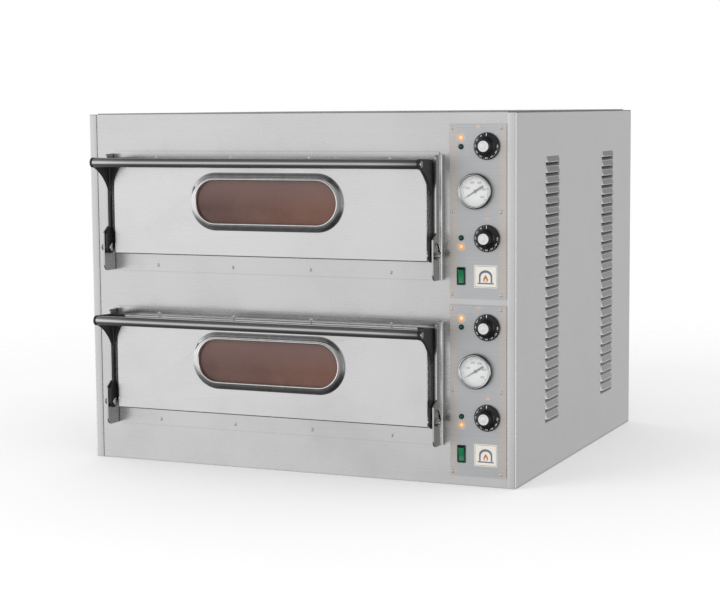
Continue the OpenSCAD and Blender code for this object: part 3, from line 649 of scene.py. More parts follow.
def crease_group():
    """Geometry nodes that mark every edge sharper than CREASE_ANGLE as a crease in the shading."""
    group = bpy.data.node_groups.new("crease_by_angle", "GeometryNodeTree")
    group.interface.new_socket("Geometry", in_out="INPUT", socket_type="NodeSocketGeometry")
    group.interface.new_socket("Geometry", in_out="OUTPUT", socket_type="NodeSocketGeometry")
    start, end = group.nodes.new("NodeGroupInput"), group.nodes.new("NodeGroupOutput")
    faces, edges = (group.nodes.new("GeometryNodeSetShadeSmooth") for _ in range(2))
    edges.domain = "EDGE"
    edges.inputs["Shade Smooth"].default_value = False
    angle = group.nodes.new("GeometryNodeInputMeshEdgeAngle")
    sharp = group.nodes.new("FunctionNodeCompare")
    sharp.inputs[1].default_value = CREASE_ANGLE
    link = group.links.new
    link(angle.outputs[0], sharp.inputs[0])
    link(sharp.outputs[0], edges.inputs["Selection"])
    link(start.outputs[0], faces.inputs[0])
    link(faces.outputs[0], edges.inputs[0])
    link(edges.outputs[0], end.inputs[0])
    return group


CREASES = crease_group()


def keep(node, material, bevel):
    """Shows a CAD node with its own finish and edges rounded by bevel, in millimetres."""
    obj = NODES[node]
    obj.data.materials.clear()
    obj.data.materials.append(material)
    if "custom_normal" in obj.data.attributes:
        obj.data.attributes.remove(obj.data.attributes["custom_normal"])
    weld = obj.modifiers.new("weld", "WELD")
    weld.merge_threshold = 2 * MERGE_M
    flat = obj.modifiers.new("flat", "DECIMATE")
    flat.decimate_type = "DISSOLVE"
    flat.angle_limit = FLAT_ANGLE
    obj.modifiers.new("creases", "NODES").node_group = CREASES
    if bevel:
        soft = obj.modifiers.new("edges", "BEVEL")
        soft.width = bevel * MM
        soft.segments = 2
        soft.angle_limit = BEVEL_ANGLE
        soft.harden_normals = True
    return obj


def thicken(obj, thickness):
    """Gives a surface its sheet thickness, inwards. Large faces decide the shading near folds."""
    sheet = obj.modifiers.new("sheet", "SOLIDIFY")
    sheet.thickness = thickness * MM
    sheet.offset = -1
    normals = obj.modifiers.new("normals", "WEIGHTED_NORMAL")
    normals.keep_sharp = True
    normals.weight = 80


# ---- casing ----

LOUVRE_COLS = (-174.0, 207.0)
LOUVRE_ROWS = 26
LOUVRE_PITCH = 19.8
LOUVRE_MID_Z = 354.8
LOUVRE_HALF = 43.0
LOUVRE_FADE = 12
LOUVRE_HALF_H = 5.8
LOUVRE_SLOT = 7.2
LOUVRE_IN = 3.4
LOUVRE_OUT = box_mm("right_side_panel")[1].x - SIDE_X
LOUVRE_STOPS = (0, 12, 22, 30, 31.5, 33, 35, 37, 39, 41, 42.5, 43, 44)
HOOD_STEPS = (-5.8, -5.4, -4.6, -3.7, -2.6, -1.3, 0.4, 2.2, 3.7, 4.8, 5.5, 5.8)
PRESS_EDGE = 0.3
LIP_W = 16.5
BEND_R = 2.5
TOP_R = 2.0
RETURN_W = 30.0


def louvre_end(u):
    """Fades a louvre out towards its two ends."""
    end = max(abs(u) - (LOUVRE_HALF - LOUVRE_FADE), 0) / LOUVRE_FADE
    return 1 - end * end


def hood_height(u, v):
    """How far a louvre stands out, u along it and v up from its middle."""
    t = (LOUVRE_HALF_H - v) / (2 * LOUVRE_HALF_H)
    slope = t * 1.12 if t < 0.8 else 0.896 + 0.104 * sin((t - 0.8) / 0.2 * TAU / 4)
    return LOUVRE_OUT * louvre_end(u) * slope


def side_plan(louvred):
    """The side sheet seen from above: (x, y) from its lip round the corner to the back."""
    bend_y = LIP_Y + BEND_R
    plan = [(SIDE_X - LIP_W, LIP_Y), (SIDE_X - 8, LIP_Y)]
    plan += [(SIDE_X - BEND_R + BEND_R * sin(a), bend_y - BEND_R * cos(a))
             for a in QUARTER]
    corner = len(plan) - 1
    offsets = [-u for u in LOUVRE_STOPS[:0:-1]] + list(LOUVRE_STOPS)
    ys = [bend_y + 6]
    for col in LOUVRE_COLS if louvred else ():
        ys += [col + u for u in offsets]
    ys.append(-LIP_Y)
    return plan + [(SIDE_X, y) for y in ys], corner


def side_rows(louvred):
    """(height, height in its hood or None, kind) up the sheet. A tear has no sheet below it."""
    rows = [(0.0, None, "sheet")]
    for i in range(LOUVRE_ROWS if louvred else 0):
        z = LOUVRE_MID_Z + (i - (LOUVRE_ROWS - 1) / 2) * LOUVRE_PITCH
        slot_z = z - LOUVRE_HALF_H - LOUVRE_SLOT
        rows += [(slot_z - PRESS_EDGE, None, "sheet"), (slot_z, None, "sheet")]
        rows.append((z - LOUVRE_HALF_H, None, "flap"))
        rows += [(z + v, v, "sheet" if n else "tear") for n, v in enumerate(HOOD_STEPS)]
        rows.append((z + LOUVRE_HALF_H + PRESS_EDGE, None, "sheet"))
    return rows + [(SHELL_TOP - TOP_R, None, "sheet")]


def pressed(y, v, kind):
    """How far the sheet is pressed out at one point. Flaps go inwards."""
    out = 0.0
    for col in LOUVRE_COLS:
        if abs(y - col) <= LOUVRE_HALF and kind == "flap":
            out = -LOUVRE_IN * louvre_end(y - col)
        elif abs(y - col) <= LOUVRE_HALF and v is not None:
            out = hood_height(y - col, v)
    return out


def side_sheet(side, louvred):
    """Front lip, rounded corner, flat side with pressed louvres, and top return."""
    plan, corner = side_plan(louvred)
    rows = side_rows(louvred)
    wide = len(plan)
    verts, faces, flaps = [], [], []
    for z, v, kind in rows:
        verts += [(x + (pressed(y, v, kind) if i > corner else 0.0), y, z) for i, (x, y) in enumerate(plan)]
    for k in range(len(rows) - 1):
        kind = rows[k + 1][2]
        for i in range(wide - 1 if kind != "tear" else 0):
            a, b = k * wide + i, (k + 1) * wide + i
            inwards = min(verts[b][0], verts[b + 1][0]) < SIDE_X - 0.1
            flap = i > corner and kind == "flap" and inwards
            (flaps if flap else faces).append((a, a + 1, b + 1, b))
    last = (len(rows) - 1) * wide
    first = len(verts)
    verts += [(x, y, SHELL_TOP) for x, y in plan[:corner + 1]]
    faces += [(last + i, last + i + 1, first + i + 1, first + i) for i in range(corner)]
    bend = [(SIDE_X - TOP_R + TOP_R * cos(a), SHELL_TOP - TOP_R + TOP_R * sin(a))
            for a in (TAU / 16, TAU / 8, TAU * 3 / 16, TAU / 4)]
    bend += [(SIDE_X - 12, SHELL_TOP), (SIDE_X - RETURN_W, SHELL_TOP)]
    below = list(range(last + corner + 1, last + wide))
    for x, z in bend:
        row = []
        for _, y in plan[corner + 1:]:
            row.append(len(verts))
            verts.append((x, y, z))
        faces += [(below[i], below[i + 1], row[i + 1], row[i]) for i in range(len(row) - 1)]
        below = row
    piece = Piece()
    place = Matrix.Diagonal((side * MM, MM, MM, 1))
    lip_end = LIP_Y + BEND_R - 0.5
    lip = [f for f in faces if max(verts[i][1] for i in f) < lip_end]
    flat = [f for f in faces if max(verts[i][1] for i in f) >= lip_end]
    # Faces of the inward flaps take the darker flap material, which is painted shade.
    piece.add((verts, flat), place, 0).add((verts, lip), place, 1).add((verts, flaps), place, 2)
    name = "right_side_panel" if side > 0 else "left_side_panel"
    obj = piece.make(name + "_sheet", "oven_body", "casing_steel",
                     [M["side"], M["lip_sheet"], M["flap"]], [name], angle=40)
    thicken(obj, SHEET)


# ---- doors ----

FOLD_R = 2.2
TRAY_CORNER = 1.6
TRAY_SHEET = 1.0
NOTCH_UP = 6.0
NOTCH_BACK = 5.7


def door_tray(deck, window):
    """Outer skin: a sheet folded back along its four edges, with the window cut out."""
    lo, hi = box_mm(f"{deck}_door_outer_skin")
    mid = (lo + hi) / 2
    w, h, depth = hi.x - lo.x, hi.z - lo.z, hi.y - lo.y

    def loop(inset):
        """The tray's outline, with points added where its lower corners are notched."""
        points = rounded_rect(w - 2 * inset, h - 2 * inset, max(TRAY_CORNER - inset, 0.05), 4)
        at_left = next(i for i, (x, y) in enumerate(points) if x < 0 and y < 0)
        side = w / 2 - inset
        points[at_left:at_left] = [(-side, NOTCH_UP + 0.05 - h / 2), (-side, NOTCH_UP - h / 2)]
        return points + [(side, NOTCH_UP - h / 2), (side, NOTCH_UP + 0.05 - h / 2)]

    rows = [(loop(0), 0.0), (loop(0), NOTCH_BACK)]
    rows += [(loop(FOLD_R - FOLD_R * cos(a)), depth - FOLD_R + FOLD_R * sin(a))
             for a in QUARTER]
    verts, faces = sweep_loops(rows, closed=False)
    count = len(rows[0][0])
    verts = [(x, y, NOTCH_BACK if i < count and y < NOTCH_UP + 0.01 - h / 2 else z)
             for i, (x, y, z) in enumerate(verts)]
    at = front_of(lo, hi, FRONT - hi.y)
    tray = Piece()
    tray.add((verts, faces), at)
    wx, wz, half, hole_r = window
    hole = [(x + wx - mid.x, y + wz - mid.z) for x, y in stadium_loop(half, hole_r)]
    tray.add(slab([loop(FOLD_R), hole], 0), at @ shift(0, 0, depth))
    obj = tray.make(f"{deck}_door_face", f"{deck}_door", "casing_steel", [M["door"]],
                    [f"{deck}_door_outer_skin"], angle=45)
    thicken(obj, TRAY_SHEET)


SURROUND = ((0, .1), (0, .6), (.3, .95), (1.3, 1.1), (1.9, 1.4), (3.2, 2.3), (5.0, 3.4), (7.0, 4.3),
            (9.0, 5.0), (10.4, 5.3), (10.9, 5.35), (11.4, 5.75), (12.2, 6.0), (13.4, 5.95), (14.2, 5.5),
            (14.8, 4.6), (15, 3.4), (15, .1))
SURROUND_BAND = 10.6
HOLE_INSET = 13


def window_surround(deck):
    """Rolled ring round the window. Gives the window's place and size for the skin's hole."""
    lo, hi = box_mm(f"{deck}_window_bezel")
    mid = (lo + hi) / 2
    big_r = (hi.z - lo.z) / 2
    half = (hi.x - lo.x) / 2 - big_r
    face = FRONT - box_mm(f"{deck}_door_outer_skin")[0].y
    verts, faces = sweep_loops([(stadium_loop(half, big_r - d), h) for d, h in SURROUND])
    at = on_front(mid.x, mid.z, face)
    n = len(verts) // len(SURROUND)
    band = [f for i, f in enumerate(faces) if SURROUND[i // n][0] < SURROUND_BAND]
    lip = [f for i, f in enumerate(faces) if SURROUND[i // n][0] >= SURROUND_BAND]
    piece = Piece().add((verts, band), at, 0).add((verts, lip), at, 1)
    piece.make(f"{deck}_window_surround", f"{deck}_door", "bezel_chrome", [M["bezel"], M["lip"]],
               [f"{deck}_window_bezel"], angle=60)
    return mid.x, mid.z, half, big_r - HOLE_INSET


def handle_bar(deck):
    lo, hi = box_mm(f"{deck}_handle_bar")
    r, length = (hi.z - lo.z) / 2, hi.x - lo.x
    ends = [(2.5, 0.6), (2.5, 0), (r - 0.8, 0), (r - 0.25, 0.25), (r, 0.8)]
    profile = ends + [(r, length * i / 8) for i in range(1, 8)]
    profile += [(a, length - b) for a, b in reversed(ends)]
    bar = Piece()
    bar.add(lathe(profile, 72), across(lo.x, (lo.y + hi.y) / 2, (lo.z + hi.z) / 2))
    bar.make(f"{deck}_handle_rod", f"{deck}_door", "bar_steel", [M["bar"]], [f"{deck}_handle_bar"])


CAP_H = 2.6
HEX_R = 2.6


def handle_screws(deck):
    """Cap screws with a hexagon socket, one into each end of the bar."""
    screws = Piece()
    for lo, hi in solids(f"{deck}_handle_screws"):
        side = 1 if lo.x > 0 else -1
        head_r = (hi.z - lo.z) / 2
        under = (hi.x if side > 0 else lo.x) - side * CAP_H
        at = across(under, (lo.y + hi.y) / 2, (lo.z + hi.z) / 2, side)
        length = hi.x - lo.x - CAP_H
        screws.add(lathe(((0, -length), (2.0, -length), (2.4, -length + 0.6), (2.4, 0))), at)
        head = lathe(((2.4, 0), (head_r - 0.3, 0), (head_r, 0.4), (head_r, 1.6), (head_r - 0.5, 2.3),
                      (head_r - 1.6, CAP_H), (HEX_R, CAP_H)), 48)
        screws.add(head, at)
        screws.add(lathe(((HEX_R, CAP_H), (2.3, 2.4), (2.3, 0.9), (0, 0.6)), 6), at)
        screws.add(lathe(((HEX_R, CAP_H), (HEX_R, CAP_H - 0.01)), 48), at)
    screws.make(f"{deck}_handle_cap_screws", f"{deck}_door", "bright_fastener", [M["zinc"]],
                [f"{deck}_handle_screws"])


def door_arms(deck):
    """The CAD arms with the soft corners of a casting."""
    arms = keep(f"{deck}_door_arms", M["arm"], 0)
    cast = arms.modifiers.new("cast", "REMESH")
    cast.mode = "VOXEL"
    cast.voxel_size = 0.9 * MM
    cast.use_smooth_shade = True
    round_off = arms.modifiers.new("rounded", "SMOOTH")
    round_off.factor = 0.5
    round_off.iterations = 5


SHANK_R = 1.5


def small_screws(node, name, head_r, face):
    """Cross-recessed screws, each in the place of one of the node's solids."""
    piece = Piece()
    for lo, hi in solids(node):
        at = front_of(lo, hi, face)
        depth = hi.y - (FRONT - face)
        piece.add(screw_head(head_r, head_r * 0.45), at @ spin(random.uniform(0, 90)))
        shank = ((head_r, 0), (head_r, -0.05), (SHANK_R, -0.05), (SHANK_R, 0.4 - depth),
                 (SHANK_R - 0.4, -depth), (0, -depth))
        piece.add(lathe(shank, 24), at, flip=True)
    piece.make(name, "oven_body", "bright_fastener", [M["screw"]], [node])


# ---- controls ----

FLUTES = 24
FLUTE_DEPTH = 0.55
SKIRT_TOP = 5.0
SKIRT_TILT = degrees(atan2(0.85, 4.6))
MARK_STEP = 30


def heat_knob(deck, row):
    """Knob with a fluted grip, a pale cap, and a sloping skirt with printed temperatures."""
    node = f"{deck}_{row}_knob"
    place = joint_place(f"{deck}_{row}_turn")
    lo, hi = box_mm(node)
    r, base, top = (hi.x - lo.x) / 2, FRONT - hi.y, hi.y - lo.y
    at = on_front(place.x, place.z, base)
    profile = ((0, 12), (3.02, 12), (3.02, 0), (r - 0.4, 0), (r, 0.4), (r, 1.9), (r - 0.25, 2.4),
               (r - 0.9, 2.65), (20.0, 3.5), (16.6, 4.2), (15.4, 4.9), (14.6, 6.2), (14.2, 8.0),
               (13.9, 11.0), (13.5, 15.0), (13.1, 18.2), (12.6, top - 1.8), (11.9, top - 1.1),
               (10.9, top - 0.7), (10.3, top - 0.75), (10.2, top - 1.2), (0, top - 1.2))
    verts, faces = lathe(profile, 144)

    def fluted(v):
        rad, a = hypot(v[0], v[1]), atan2(v[1], v[0])
        if SKIRT_TOP < v[2] < top - 1 and rad > 12:
            rad -= FLUTE_DEPTH * max(0.0, cos(FLUTES * a)) * min(1, (v[2] - SKIRT_TOP) / 3)
            return rad * cos(a), rad * sin(a), v[2]
        return v

    knob = Piece()
    knob.add(([fluted(v) for v in verts], faces), at, 0)
    cap = lathe(((0, top - 1.1), (10.1, top - 1.1), (10.1, top - 0.4), (9.7, top - 0.08), (9.2, top),
                 (6.5, top - 0.06), (6.2, top - 0.22), (5.9, top - 0.06), (0, top - 0.12)), 72)
    knob.add(cap, at, 1)

    def printed(part, angle, radius, height):
        knob.add(part, at @ spin(angle) @ shift(0, radius, height) @ spin(-SKIRT_TILT, "X"), 2)

    printed(slab([rounded_rect(1.2, 5.6, 0.4, 2)], 0.3), 0, 21.1, 3.1)
    for i in range(1, 10):
        printed(lettering(str(50 * i), 3.9, 0.25), MARK_STEP * i, 21.3, 3.1)
        printed(slab([rounded_rect(0.5, 1.4, 0.2, 2)], 0.3), MARK_STEP * (i - 0.5), 22.9, 2.85)
    knob.make(f"{deck}_{row}_dial_knob", f"{deck}_{row}_control", "knob_black",
              [M["knob"], M["cap"], M["white_print"]], [node])


GAUGE_ZERO = 212
GAUGE_STEP = 5
GAUGE_MARKS = 51
GAUGE_STEPS = 96
DIAL_FACE = 1.75
NUMBER_X = 16.4
NUMBER_Y = 17.0
CASE_BACK = -24
STEM_END = -38


def gauge_case(rim, proud, dial_r, at, cases):
    """Rolled bezel and cup, bored for the needle's shaft, with a stem behind."""
    cup = dial_r + 2
    profile = ((cup, CASE_BACK + 0.6), (cup, PANEL_T), (rim - 0.2, PANEL_T), (rim, PANEL_T + 0.3),
               (rim, proud - 3.4), (rim - 0.4, proud - 2.2), (rim - 1.1, proud - 1.0),
               (rim - 2.0, proud - 0.3), (rim - 2.9, proud), (rim - 3.7, proud - 0.2),
               (rim - 4.4, proud - 0.7), (rim - 5.0, proud - 1.4), (rim - 5.0, proud - 1.55),
               (dial_r + 0.1, proud - 1.56), (dial_r + 0.1, CASE_BACK + 2), (0.9, CASE_BACK + 2),
               (0.9, CASE_BACK), (cup - 0.6, CASE_BACK))
    verts, faces = lathe(profile, GAUGE_STEPS, closed=True)
    # The outer wall takes the second, dark chrome: painted shade.
    outer = [f for i, f in enumerate(faces) if 3 <= i // GAUGE_STEPS <= 5]
    rest = [f for i, f in enumerate(faces) if not 3 <= i // GAUGE_STEPS <= 5]
    cases.add((verts, rest), at, 0).add((verts, outer), at, 1)
    stem = ((0.9, CASE_BACK), (6, CASE_BACK), (6, STEM_END + 0.6), (5.4, STEM_END), (0.9, STEM_END))
    cases.add(lathe(stem, 48, closed=True), at, 0)


def gauge_dial(dial_r, at, dials):
    """Dial plate with a mark every 10 degrees Celsius, and a number at every hundredth."""
    plate = ((0.9, 0.6), (dial_r, 0.6), (dial_r, 1.5), (dial_r - 0.3, 1.8), (0.9, 1.8))
    dials.add(lathe(plate, GAUGE_STEPS, closed=True), at, 0)
    for i in range(GAUGE_MARKS):
        big, mid = i % 10 == 0, i % 5 == 0
        wide, length = (1.1, 3.4) if big else (0.7, 2.4) if mid else (0.4, 1.5)
        turned = at @ spin(GAUGE_ZERO - 90 - GAUGE_STEP * i)
        dials.add(slab([rounded_rect(wide, length, 0.1, 1)], 0.12),
                  turned @ shift(0, dial_r - 3.2 - length / 2, DIAL_FACE), 1)
        if big:
            a = radians(GAUGE_ZERO - GAUGE_STEP * i)
            dials.add(lettering(str(10 * i), 5.6, 0.12, 0.16),
                      at @ shift(NUMBER_X * cos(a), NUMBER_Y * sin(a), DIAL_FACE), 1)


def gauge_needle(deck, at):
    needle = Piece()
    hub = ((0, -20), (0.8, -20), (0.8, 2.4), (2.8, 2.4), (3.0, 2.6), (3.0, 3.5), (2.5, 3.9), (0, 4.0))
    needle.add(lathe(hub, 40), at)
    blade = [(-17.6, -2.1), (-18, -1.7), (-18, 1.7), (-17.6, 2.1), (-4, 1.7), (0, 1.4), (23, 0.35),
             (23, -0.35), (0, -1.4), (-4, -1.7)]
    needle.add(slab([blade], 0.6, 0.12, 1), at @ shift(0, 0, 2.8) @ spin(GAUGE_ZERO))
    needle.make(f"{deck}_gauge_needle", f"{deck}_needle", "needle_black", [M["needle"]],
                [f"{deck}_thermometer_needle"])


def gauges():
    cases, dials, glasses = Piece(), Piece(), Piece()
    lo, hi = box_mm("thermometer_cases")
    rim, proud = (hi.x - lo.x) / 2, FRONT - lo.y
    dial_lo, dial_hi = box_mm("thermometer_dials")
    dial_r = (dial_hi.x - dial_lo.x) / 2
    pane = ((0, proud - 3.0), (dial_r - 0.4, proud - 3.0), (dial_r - 0.2, proud - 2.8),
            (dial_r - 0.2, proud - 1.8), (dial_r - 0.4, proud - 1.6), (0, proud - 1.6))
    for deck in DECKS:
        place = joint_place(f"{deck}_needle_turn")
        at = on_front(place.x, place.z)
        gauge_case(rim, proud, dial_r, at, cases)
        gauge_dial(dial_r, at, dials)
        glasses.add(lathe(pane, GAUGE_STEPS), at)
        gauge_needle(deck, at)
    cases.make("gauge_cases", "oven_body", "gauge_bezel", [M["chrome"], M["dark_rim"]],
               ["thermometer_cases"], angle=50)
    dials.make("gauge_dials", "oven_body", "dial_white", [M["dial"], M["grey_print"]],
               ["thermometer_dials"])
    glasses.make("gauge_crystals", "oven_body", "gauge_glass", [M["gauge_glass"]],
                 ["thermometer_glasses"])


def pilot_lights():
    lamps = Piece()
    for lo, hi in solids("pilot_lamps"):
        at = front_of(lo, hi)
        back = FRONT - hi.y
        t = PANEL_T
        ring = ((3.5, back), (3.8, back), (4, back + 0.4), (4, t), (5, t), (5, t + 1.2),
                (4.7, t + 1.7), (4.1, t + 1.9), (3.7, t + 1.6), (3.6, t + 0.4))
        lens = ((0, t + 0.3), (3.6, t + 0.3), (3.6, t + 1.4), (3.2, t + 2.2), (2.3, t + 2.9),
                (1.2, t + 3.3), (0, t + 3.4))
        lamps.add(lathe(ring, 48, closed=True), at, 0)
        lamps.add(lathe(lens, 40), at, 1)
    lamps.make("pilot_lamp_set", "oven_body", "pilot_green", [M["switch"], M["pilot"]], ["pilot_lamps"])


SWITCH_BEHIND = -14
ROCKER_HALF = 12
ROCKER_TILT = 10


def switches():
    """Frames with rockers in them, each rocker hollowed along its face and tilted at rest."""
    housings = Piece()
    for deck in DECKS:
        pin = joint_place(f"{deck}_switch_rock")
        at = on_front(pin.x, pin.z)
        hole = rounded_rect(12.0, 28.4, 0.6)
        housings.add(slab([rounded_rect(16.4, 33, 1.5), hole], 2.0, 0.45, 3), at @ shift(0, 0, PANEL_T))
        walls = [rounded_rect(14.2, 30.2, 0.8), rounded_rect(12.05, 28.45, 0.6)]
        housings.add(slab(walls, PANEL_T - SWITCH_BEHIND), at @ shift(0, 0, SWITCH_BEHIND))
        housings.add(slab(walls[:1], 8), at @ shift(0, 0, SWITCH_BEHIND - 8.02))
        outline = [(12.4, 2), (12.8, 2.4), (12.8, 6.3), (12.3, 6.55)]
        outline += [(ROCKER_HALF - i, 4.75 + 1.75 * (1 - i / ROCKER_HALF) ** 2)
                    for i in range(2 * ROCKER_HALF + 1)]
        outline += [(-12.3, 6.55), (-12.8, 6.3), (-12.8, 2.4), (-12.4, 2), (-4, -3), (4, -3)]
        lengthwise = Matrix(((0, 0, 1, 0), (1, 0, 0, 0), (0, 1, 0, 0), (0, 0, 0, 1)))
        rest = on_front(pin.x, pin.z, FRONT - pin.y) @ spin(ROCKER_TILT, "X")
        rocker = Piece()
        rocker.add(slab([outline[::-1]], 11.4, 0.5, 3), rest @ lengthwise @ shift(0, 0, -5.7))
        rocker.add(lathe(((0, -6.7), (1.2, -6.7), (1.2, 6.7), (0, 6.7)), 24), rest @ spin(90, "Y"))
        rocker.make(f"{deck}_rocker_cap", f"{deck}_switch", "rocker_green", [M["rocker"]],
                    [f"{deck}_switch_rocker"])
    housings.make("switch_frames", "oven_body", "switch_black", [M["switch"]], ["switch_housings"])


def flame_outline(width, height):
    """A drop with its point up, as a sign for heat."""
    return [(-width / 2 * sin(a) * sin(a / 2) ** 1.4, height / 2 * cos(a))
            for a in (i * TAU / 32 for i in range(32))]


INK_H = 0.06
ARCH_HALF = 13
ARCH_FOOT = -11
ARCH_SHOULDER = 1
ARCH_RISE = 11


def badges():
    """Cream plates with a border, an oven's arch and a flame in it."""
    arch = [(-ARCH_HALF, ARCH_FOOT), (ARCH_HALF, ARCH_FOOT), (ARCH_HALF, ARCH_SHOULDER)]
    arch += [(ARCH_HALF * cos(a), ARCH_SHOULDER + ARCH_RISE * sin(a))
             for a in (i * TAU / 40 for i in range(1, 20))]
    arch.append((-ARCH_HALF, ARCH_SHOULDER))
    inner = [(x * 0.76, ARCH_FOOT + (y - ARCH_FOOT) * 0.80) for x, y in arch]
    plates = Piece()
    for lo, hi in solids("badge_plates"):
        w, h, t = hi.x - lo.x, hi.z - lo.z, hi.y - lo.y
        at = front_of(lo, hi, FRONT - hi.y)
        plates.add(slab([rounded_rect(w, h, 1.6)], t, 0.2, 2), at, 0)
        top = at @ shift(0, 0, t - 0.02)
        border = [rounded_rect(w - 3.2, h - 3.2, 1.2), rounded_rect(w - 4.6, h - 4.6, 0.9)]
        plates.add(slab(border, INK_H), top, 1)
        plates.add(slab([arch, inner], INK_H), top, 1)
        plates.add(slab([rounded_rect(32, 2.4, 0.6)], INK_H), top @ shift(0, -12.6), 1)
        plates.add(slab([flame_outline(13, 14)], INK_H), top @ shift(0, -3.2), 2)
        plates.add(slab([flame_outline(6, 7)], 0.04), top @ shift(0, -6.2, 0.04), 0)
    plates.make("maker_plates", "oven_body", "badge_enamel",
                [M["badge"], M["slate_print"], M["rust_print"]], ["badge_plates"])


def panel_prints(deck):
    """Printed suns above or below the pilot lamps, and two bars over each knob."""
    prints = Piece()
    lamps = [b for b in solids("pilot_lamps") if (b[0].z > SHELL_TOP / 2) == (deck == "upper")]
    for (lo, hi), offset in zip(lamps, (-15.9, 16.7)):
        at = front_of(lo, hi, PANEL_T) @ shift(0, offset)
        prints.add(slab([circle_loop(5.6, 40), circle_loop(3.4, 40)], INK_H), at, 0)
        prints.add(slab([circle_loop(3.2, 36)], 0.05), at, 2)
        for i in range(12):
            ray = slab([rounded_rect(1.7, 2.4, 0.4, 2)], INK_H)
            prints.add(ray, at @ spin(30 * i) @ shift(0, 7.5), 1)
    for row, aside, offset in (("top_heat", -17.5, 34.5), ("base_heat", 1.0, 35.0)):
        place = joint_place(f"{deck}_{row}_turn")
        at = on_front(place.x + aside, place.z + offset, PANEL_T)
        prints.add(slab([rounded_rect(8.0, 1.2, 0.5, 3)], INK_H), at @ shift(0, 1.6), 1)
        prints.add(slab([rounded_rect(5.0, 1.0, 0.5, 3)], INK_H), at @ shift(0, -0.6), 1)
    prints.make(f"{deck}_panel_prints", "oven_body", "panel_steel",
                [M["orange_print"], M["halo_print"], M["pale_print"]])


# ---- the object ----

M = make_materials()

for node, finish, bevel in (
        ("base_pan", "inner", 0.4), ("back_panel", "side", 0.3), ("top_cover", "top", 0.8),
        ("front_panel", "front", 0), ("partition_wall", "inner", 0), ("mouth_frames", "front", 0.4),
        ("hinge_cheeks", "cheek", 0.4), ("hinge_bolts", "zinc", 0.4), ("hinge_nuts", "zinc", 0.5),
        ("insulation_blankets", "wool", 0), ("chamber_lamps", "ceramic", 0.5),
        ("thermostat_bodies", "case", 0.8), ("terminal_block", "terminal", 0.5),
        ("cable_gland", "gland", 0.4)):
    keep(node, M[finish], bevel)
for deck in DECKS:
    for part, finish, bevel in (
            ("chamber_liner", "inner", 0), ("hearth_stones", "stone", 1.5),
            ("heating_elements", "element", 0), ("control_panel", "panel", 0.3),
            ("door_inner_skin", "door_inner", 0.3), ("door_insulation", "wool", 0),
            ("window_glass", "pane", 0.4), ("top_heat_spindle", "spindle", 0.4),
            ("base_heat_spindle", "spindle", 0.4)):
        keep(f"{deck}_{part}", M[finish], bevel)
    door_tray(deck, window_surround(deck))
    handle_bar(deck)
    handle_screws(deck)
    door_arms(deck)
    for row in ("top_heat", "base_heat"):
        heat_knob(deck, row)
side_sheet(1, True)
side_sheet(-1, False)
small_screws("mouth_frame_screws", "mouth_frame_screw_set", 3.2, FRONT - box_mm("mouth_frames")[0].y)
small_screws("control_panel_screws", "panel_screw_set", 3.3, PANEL_T)
gauges()
pilot_lights()
switches()
badges()
for deck in DECKS:
    panel_prints(deck)


# ---- studio ----

WORLD_HEIGHT = ((-1.0, 0.06), (-0.45, 0.16), (-0.2, 0.9), (0.28, 1.0), (0.5, 0.35), (0.8, 0.15),
                (1.0, 0.15))
WORLD_BACK_HEIGHT = ((-1.0, 0.06), (-0.45, 0.2), (-0.2, 0.95), (0.05, 1.0), (0.2, 0.35), (0.6, 0.2),
                     (1.0, 0.15))
WORLD_FRONT = ((-1.0, 1.5), (-0.8, 1.2), (-0.5, 0.97), (-0.2, 0.82), (0.1, 0.36), (0.6, 0.34),
               (0.85, 1.5), (1.0, 1.4))
WORLD_BACK = ((-1.0, 0.9), (0.0, 0.8), (0.4, 0.74), (0.65, 0.8), (0.85, 1.3), (1.0, 1.3))


def studio_world():
    """White to the camera. What metal mirrors is bright near the horizon and dark high and low."""
    world = bpy.data.worlds.new("studio")
    bpy.context.scene.world = world
    world.use_nodes = True
    w = Nodes(world.node_tree)

    def ramp(value, stops):
        """stops are (place from -1 to 1, brightness)."""
        place = w.node("MapRange", i0=value, i1=-1.0, i2=1.0).outputs[0]
        n = w.node("ValToRGB", i0=place)
        n.color_ramp.interpolation = "EASE"
        points = n.color_ramp.elements
        while len(points) < len(stops):
            points.new(0.5)
        for point, (at, v) in zip(points, stops):
            point.position = (at + 1) / 2
            point.color = grey(v)
        return n.outputs[0]

    point = w.node("TexCoord").outputs["Generated"]
    axes = w.node("SeparateXYZ", i0=point).outputs
    behind = w.node("MapRange", i0=axes["Y"], i1=-0.1, i2=0.4).outputs[0]

    def halves(axis, front, back):
        """One ramp along an axis in front of the object, and another behind it."""
        return w.node("MixRGB", i0=behind, i1=ramp(axes[axis], front), i2=ramp(axes[axis], back)).outputs[0]

    height = halves("Z", WORLD_HEIGHT, WORLD_BACK_HEIGHT)
    around = halves("X", WORLD_FRONT, WORLD_BACK)
    mirrored = w.node("MixRGB", {"blend_type": "MULTIPLY"}, i0=1.0, i1=height, i2=around).outputs[0]
    glossy = w.node("LightPath").outputs["Is Glossy Ray"]
    tint = w.node("MixRGB", i0=glossy, i1=grey(1.0), i2=mirrored).outputs[0]
    w.put(w.tree.nodes["Background"].inputs["Color"], tint)


FLOOR_HALF = 30.0
FLOOR_Z = -0.0005
AIM = Vector((0, 0, 0.3))
LAMPS = (("key", (-2.2, -3.2, 2.6), 2.4, 45), ("fill", (2.6, -2.4, 1.6), 2.0, 12))


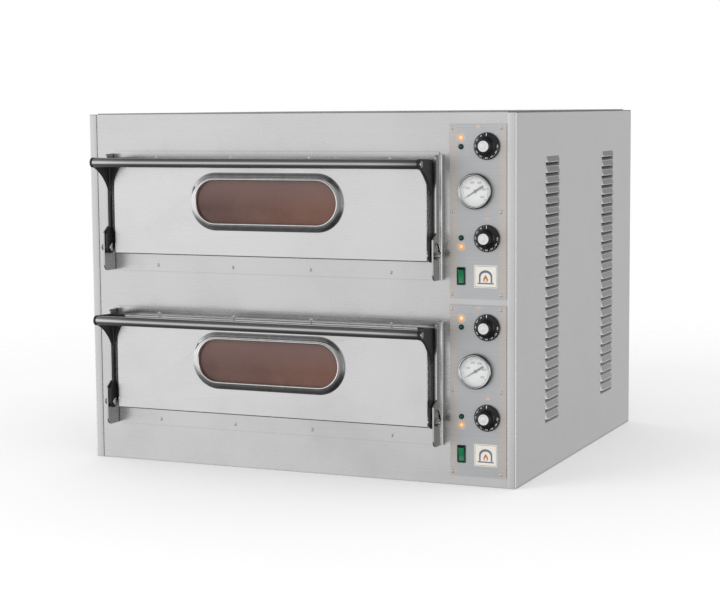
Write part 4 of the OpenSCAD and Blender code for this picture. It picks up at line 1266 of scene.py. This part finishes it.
def floor_and_light():
    """Pale floor that fades out with distance, and two soft lamps that metal doesn't mirror."""
    mesh = bpy.data.meshes.new("floor")
    corners = [(x * FLOOR_HALF, y * FLOOR_HALF, 0) for x, y in ((-1, -1), (1, -1), (1, 1), (-1, 1))]
    mesh.from_pydata(corners, [], [(0, 1, 2, 3)])
    s = Shader("studio_floor")
    far = s.node("VectorMath", {"operation": "LENGTH"}, i0=s.point).outputs["Value"]
    s.set(Base_Color=s.mix(s.noise(1.5), grey(0.90), grey(0.93)), Roughness=0.9,
          Alpha=s.ramp(far, 0.7, 0.0, 1.3, 2.4))
    mesh.materials.append(s.material)
    plane = put_in_scene("studio_floor_plane", mesh)
    plane.location.z = FLOOR_Z
    plane.visible_glossy = False
    studio_world()
    for name, where, size, power in LAMPS:
        light = bpy.data.lights.new(name, "AREA")
        light.energy = power
        light.size = size
        lamp = put_in_scene(name, light)
        lamp.location = where
        lamp.visible_glossy = False
        lamp.rotation_euler = (AIM - Vector(where)).to_track_quat("-Z", "Y").to_euler()


CAMERA_PLACE = (1.5069, -3.5155, 0.7038)
CAMERA_YAW = radians(23.648)
CAMERA_PITCH = radians(6.08)
CAMERA_ROLL = radians(-0.4565)
LENS = 90.5
SENSOR = 36


def view_axes(yaw, pitch, roll):
    """The camera's right, up and forward. yaw turns it left, and pitch points it down."""
    forward = Vector((-sin(yaw) * cos(pitch), cos(yaw) * cos(pitch), -sin(pitch)))
    right = Vector((cos(yaw), sin(yaw), 0))
    up = right.cross(forward)
    turned_right = right * cos(roll) + up * sin(roll)
    turned_up = up * cos(roll) - right * sin(roll)
    return turned_right, turned_up, forward


def camera():
    lens = bpy.data.cameras.new("camera")
    lens.lens = LENS
    lens.sensor_width = SENSOR
    cam = put_in_scene("camera", lens)
    right, up, forward = view_axes(CAMERA_YAW, CAMERA_PITCH, CAMERA_ROLL)
    rows = [(right[i], up[i], -forward[i], CAMERA_PLACE[i]) for i in range(3)]
    cam.matrix_world = Matrix(rows + [(0, 0, 0, 1)])
    bpy.context.scene.camera = cam


floor_and_light()
camera()
bpy.context.scene.view_settings.view_transform = "Standard"
